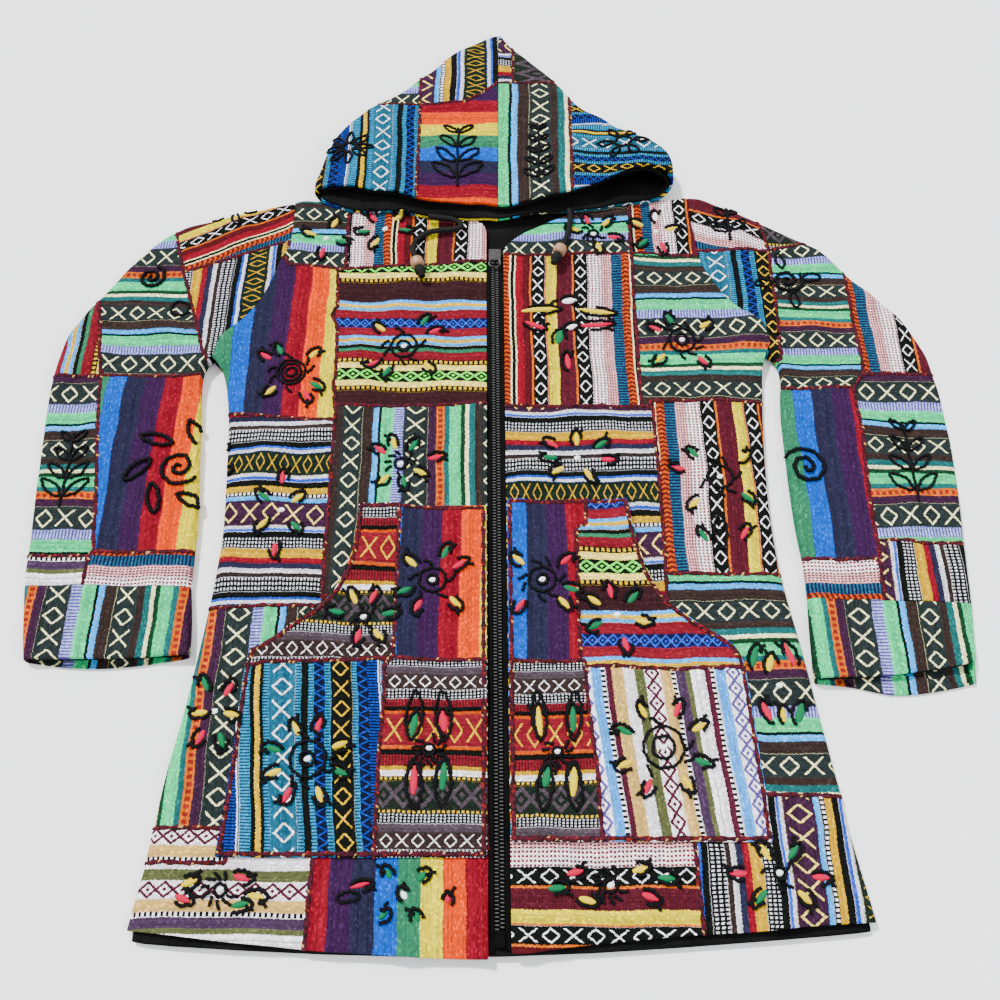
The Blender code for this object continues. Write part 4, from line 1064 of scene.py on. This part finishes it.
def chain_stitch(line, high=0.0, thick=1.4):
    """Black yarn along places on the cloth."""
    path = []
    wander = [(x + 0.7 * math.sin(count * 0.9 + y), y + 0.7 * math.cos(count * 0.7 + x))
              for count, (x, y) in enumerate(line)]
    for spot in [on_cloth(x, y, thick * 0.0006, high) for x, y in wander]:
        if spot and (not path or (spot - path[-1]).length < 0.012):
            path.append(spot)
    if len(path) < 3:
        return
    path = evenly(path, 0.0014)
    points, faces = sweep(path, thick / 1000, 5, lambda ring, side: 1.0 + 0.22 * math.sin(ring * 2.1))
    faces = [tuple(i + len(sewn_points) for i in face) for face in faces]
    sewn_points.extend(points)
    sewn_faces.extend(faces)


def turned(x, y, turn, along, beside=0.0):
    """The place along a line that leaves (x, y) at a turn, and beside it."""
    return (x + along * math.cos(turn) - beside * math.sin(turn),
            y + along * math.sin(turn) + beside * math.cos(turn))


def ring_of(x, y, radius):
    """Places round a circle."""
    return [turned(x, y, math.tau * step / 28, radius) for step in range(29)]


def leaf_outline(x, y, turn, long, wide):
    """Places round a leaf with a point at each end."""
    places = []
    for step in range(25):
        share = step / 12 if step <= 12 else (24 - step) / 12
        side = 1 if step <= 12 else -1
        a = (share - 0.5) * long
        b = side * wide / 2 * math.sin(math.pi * share) ** 0.7
        places.append(turned(x, y, turn, a, b))
    return places


def satin_leaf(colour, x, y, turn, long, wide):
    """A small raised leaf of close satin stitches."""
    points, faces = satin[colour]
    first = len(points)
    rows, columns = 17, 7
    for row in range(rows):
        share = row / (rows - 1)
        half = wide / 2 * math.sin(math.pi * (0.06 + 0.88 * share)) ** 0.6
        half = half * (1 + 0.06 * math.sin(row * 2.4 + x))
        for column in range(columns):
            beside = column / (columns - 1) * 2 - 1
            rise = 1.5 * math.sqrt(max(0.0, 1 - beside ** 2))
            rise *= math.sin(math.pi * (0.1 + 0.8 * share)) ** 0.5
            rise += 0.18 * (row % 2)
            place = turned(x, y, turn, (share - 0.5) * long, half * beside)
            spot = on_cloth(*place, (rise - 0.1) / 1000)
            if not spot and len(points) > first:
                spot = points[-1]
            points.append(spot or Vector((place[0] / 1000, (place[1] - WAIST) / 1000, CHEST / 1000)))
    for row in range(rows - 1):
        for column in range(columns - 1):
            a = first + row * columns + column
            faces.append((a, a + columns, a + columns + 1, a + 1))


def motif(x, y, rings, leaves, loops=""):
    """A sun or flower: rings in black yarn round a middle, satin leaves round it, each in a loop."""
    for radius in rings:
        chain_stitch(ring_of(x, y, radius))
    turns = []
    for colour, *leaf in map(str.split, leaves.split(",")):
        lx, ly, *own = map(float, leaf)
        turn = math.radians(own[0]) if own else math.atan2(ly - y, lx - x)
        length, width = (own[1], own[2] + 0.8) if len(own) > 1 else (13.5, 5.6)
        if math.dist((lx, ly), (x, y)) < 3:
            turn, length, width = 0.3, 6.0, 5.0
        else:
            turns.append(turn)
            loop = leaf_outline(lx + 0.8 * math.sin(lx), ly + 0.8 * math.cos(lx), turn,
                                length + 7, width + 5)
            first = int(abs(lx * 7 + ly * 3)) % 8
            chain_stitch(loop[first:first + 17], thick=1.6)
            beside = turn + (0.5 if first % 2 else -0.5)
            chain_stitch([turned(lx, ly, beside, reach)
                          for reach in np.linspace(length * 0.35, length * 0.35 + 8, 6)], thick=1.5)
        satin_leaf(colour, lx, ly, turn, length, width)
    if rings:
        for step in range(11):
            turn = math.tau * (step + 0.5) / 11 + 0.2
            if min([abs(math.remainder(turn - other, math.tau)) for other in turns] + [9]) > 0.24:
                inner, outer = rings[-1] + 2.5, rings[-1] + 9.5
                chain_stitch([turned(x, y, turn + 0.05 * (reach - inner), reach)
                              for reach in np.linspace(inner, outer, 6)])
    for loop in filter(None, loops.split(",")):
        lx, ly, turn, length, width = map(float, loop.split())
        chain_stitch(leaf_outline(lx, ly, math.radians(turn), length, width))


# each: middle, radii of its rings, leaves (colour, place, and for some their turn, length and width),
# and for some free loops of black yarn (place, turn, length, width)
MOTIFS = (
    (-243, -207, (),
     "g -254 -183, r -233 -188, y -256 -208, w -243 -207, y -228 -210, r -252 -230, g -234 -232"),
    (-222, -350, (5,),
     "y -246 -345 20, r -206 -341 -15, r -250 -357 -20, y -193 -355 -10, g -205 -361 10, w -222 -350"),
    (-160, -248, (6, 15),
     "w -160 -248, y -172 -222, r -153 -220, y -134 -236, g -133 -258, y -148 -277, r -175 -277, "
     "y -188 -259, g -190 -239"),
    (-59, -240, (5,),
     "g -73 -219 80 20 6, r -48 -216 98 18 7, r -71 -265 88 24 6, g -47 -262 86 22 6, w -59 -238",
     "-73 -211 86 44 14, -48 -211 94 44 14, -71 -268 94 42 14, -47 -266 86 42 14"),
    (-205, -16, (),
     "r -206 18, g -221 -3, y -190 -3, w -204 -16, y -220 -31, g -189 -33, r -207 -56"),
    (-95, 33, (6,),
     "r -115 48, y -102 55, g -83 52, r -62 40, y -76 24, g -91 13, y -110 16, w -95 33"),
    (-121, -122, (5,),
     "y -131 -104, r -113 -104, g -145 -118, g -98 -119, w -121 -122, r -125 -140, y -107 -139"),
    (-61, -87, (5, 12),
     "w -61 -87, y -81 -69, g -50 -60, r -37 -73, y -40 -108, r -73 -112, g -86 -98"),
    (-208, 136, (5, 10, 14),
     "g -222 163, r -235 155, y -188 158, g -182 120, r -190 108, y -227 115"),
    (-186, 307, (),
     "w -186 307, y -203 313, g -169 302, r -189 287, y -178 327"),
    (-123, 317, (),
     "g -146 316, r -137 334, y -109 333, w -123 317, g -101 315, y -133 300"),
    (-97, 168, (6, 13),
     "w -97 168, y -122 190, g -77 199, r -66 186, r -127 147, g -113 138, y -71 143"),
    (48, -242, (4,),
     "y 33 -216 94 27 5, g 62 -214 88 22 5, w 48 -242, g 39 -262 72 18 7, y 61 -266 84 25 6",
     "33 -211 94 44 13, 63 -211 86 44 13, 37 -270 84 40 13, 61 -270 96 40 13"),
    (137, -238, (9, 17),
     "w 137 -238, y 121 -207, r 151 -206, y 168 -221, g 169 -250, y 155 -267, r 122 -270, y 104 -252, "
     "g 105 -224"),
    (222, -338, (5,),
     "y 213 -322, g 235 -322, r 190 -338, r 255 -341, g 206 -356, y 240 -356, w 222 -338"),
    (240, -184, (),
     "g 222 -158 75 19 6, y 235 -164 75 15 6, r 253 -156 110 22 5, w 241 -184, r 227 -207 110 17 6, "
     "y 241 -210 90, g 256 -208 70 17 7"),
    (88, -347, (5,),
     "r 60 -337 15, y 112 -335 15, g 132 -342 -5, w 88 -347, g 45 -349 5, r 118 -356 -20, "
     "y 69 -358 -15"),
    (74, 40, (),
     "r 50 55, y 74 60, g 97 54, g 48 40, r 103 38, w 74 40, y 55 26, y 84 21"),
    (208, 18, (12,),
     "g 185 44, r 170 28, y 233 40, w 208 18, y 182 -9, g 232 -4"),
    (204, -26, (),
     "r 226 -40 60, g 188 -42 120",
     "204 -38 90 34 12"),
    (38, -87, (5, 12),
     "w 38 -87, y 17 -67, r 60 -68, y 57 -110, r 18 -112, g 64 -96"),
    (104, -120, (),
     "r 99 -98, y 84 -107, g 119 -104, w 104 -120, g 84 -130, y 126 -127, r 110 -148"),
    (100, 312, (5,),
     "r 94 331, y 114 328, y 79 317, r 122 308, y 105 293, w 100 312"),
    (167, 314, (),
     "y 148 325, y 184 318, g 152 300, r 174 294, w 168 336, w 167 314"),
    (68, 205, (),
     "y 41 212 6 38 5, y 99 211 -6 38 5, r 36 193 -22 22 5, r 98 194 8 34 5, w 71 224 8 14 6, "
     "w 73 190 25 12 5, g 60 178 75 16 8, r 68 148 95 18 5"),
    (184, 174, (6, 13),
     "g 174 200, r 158 188, y 209 194, y 161 153, r 203 149, w 184 174"),
    (-72, -362, (),
     "g -62 -340 45 9 5, g -92 -369 45 8 4, g -65 -370 120 8 4, g -89 -338 120 8 4, "
     "w -76 -354 120 7 4, r -41 -357 90 6 4, r -111 -347 15 15 3",
     "-120 -356 10 18 8"),
)
for work in MOTIFS:
    motif(*work)


def spray(x, foot, tip, half, pairs, high=0.0):
    """A stem with pairs of pointed leaves, in black yarn alone."""
    chain_stitch([(x, foot + (tip - foot) * i / 20) for i in range(21)], high)
    for pair in range(pairs):
        y = foot + (tip - foot) * (pair + 0.6) / pairs
        reach = half * (1 - 0.55 * pair / pairs)
        for side in (-1, 1):
            leaf = leaf_outline(x + side * reach / 2, y + reach * 0.35, math.radians(90 - side * 48),
                                reach * 1.15, reach * 0.42)
            chain_stitch(leaf, high)


def swirl(x, y, radius, turns, start):
    """A spiral of black yarn."""
    steps = int(turns * 26)
    chain_stitch([turned(x, y, start + math.tau * turns * i / steps, radius * i / steps)
                  for i in range(2, steps + 1)], thick=2.0)


def petals(x, y, across, down, turns, long, wide, high=0.0, lean=0, thick=1.4):
    """Leaves of black yarn round a middle."""
    for degrees in turns:
        turn = math.radians(degrees)
        chain_stitch(leaf_outline(x + across * math.cos(turn), y + down * math.sin(turn),
                                  math.radians(degrees + lean), long, wide), high, thick)


swirl(-306, 30, 24, 2.2, 0.4)
petals(-306, 30, 39, 39, (20, 75, 130, 185, 240, 295, 350), 32, 11, lean=40, thick=2.0)
spray(-412, -12, 66, 24, 4)
spray(392, -8, 80, 24, 4)
swirl(-365, 255, 15, 2.0, 1.2)
chain_stitch(ring_of(-330, 215, 9))
petals(-290, 345, 17, 14, range(0, 360, 72), 18, 8)
swirl(292, 30, 24, 2.4, 2.0)
swirl(300, 250, 17, 2.0, 0.6)
petals(300, 250, 26, 26, range(10, 360, 90), 20, 9)
spray(245, 300, 345, 20, 2)
petals(-170, 440, 17, 17, range(0, 360, 45), 22, 8, 18.0)
spray(-48, 385, 478, 30, 4, 20.0)
spray(44, 390, 490, 18, 5, 26.0)
chain_stitch(ring_of(140, 452, 9), 30.0)
petals(140, 452, 20, 20, range(0, 360, 60), 18, 8, 30.0)

add_mesh("embroidery_black", sewn_points, sewn_faces, [black_yarn], "jacket", "black_braid")
for colour, (points, faces) in satin.items():
    add_mesh("embroidery_" + SATIN[colour].name, points, faces, [SATIN[colour]], "jacket", "rainbow_cotton")
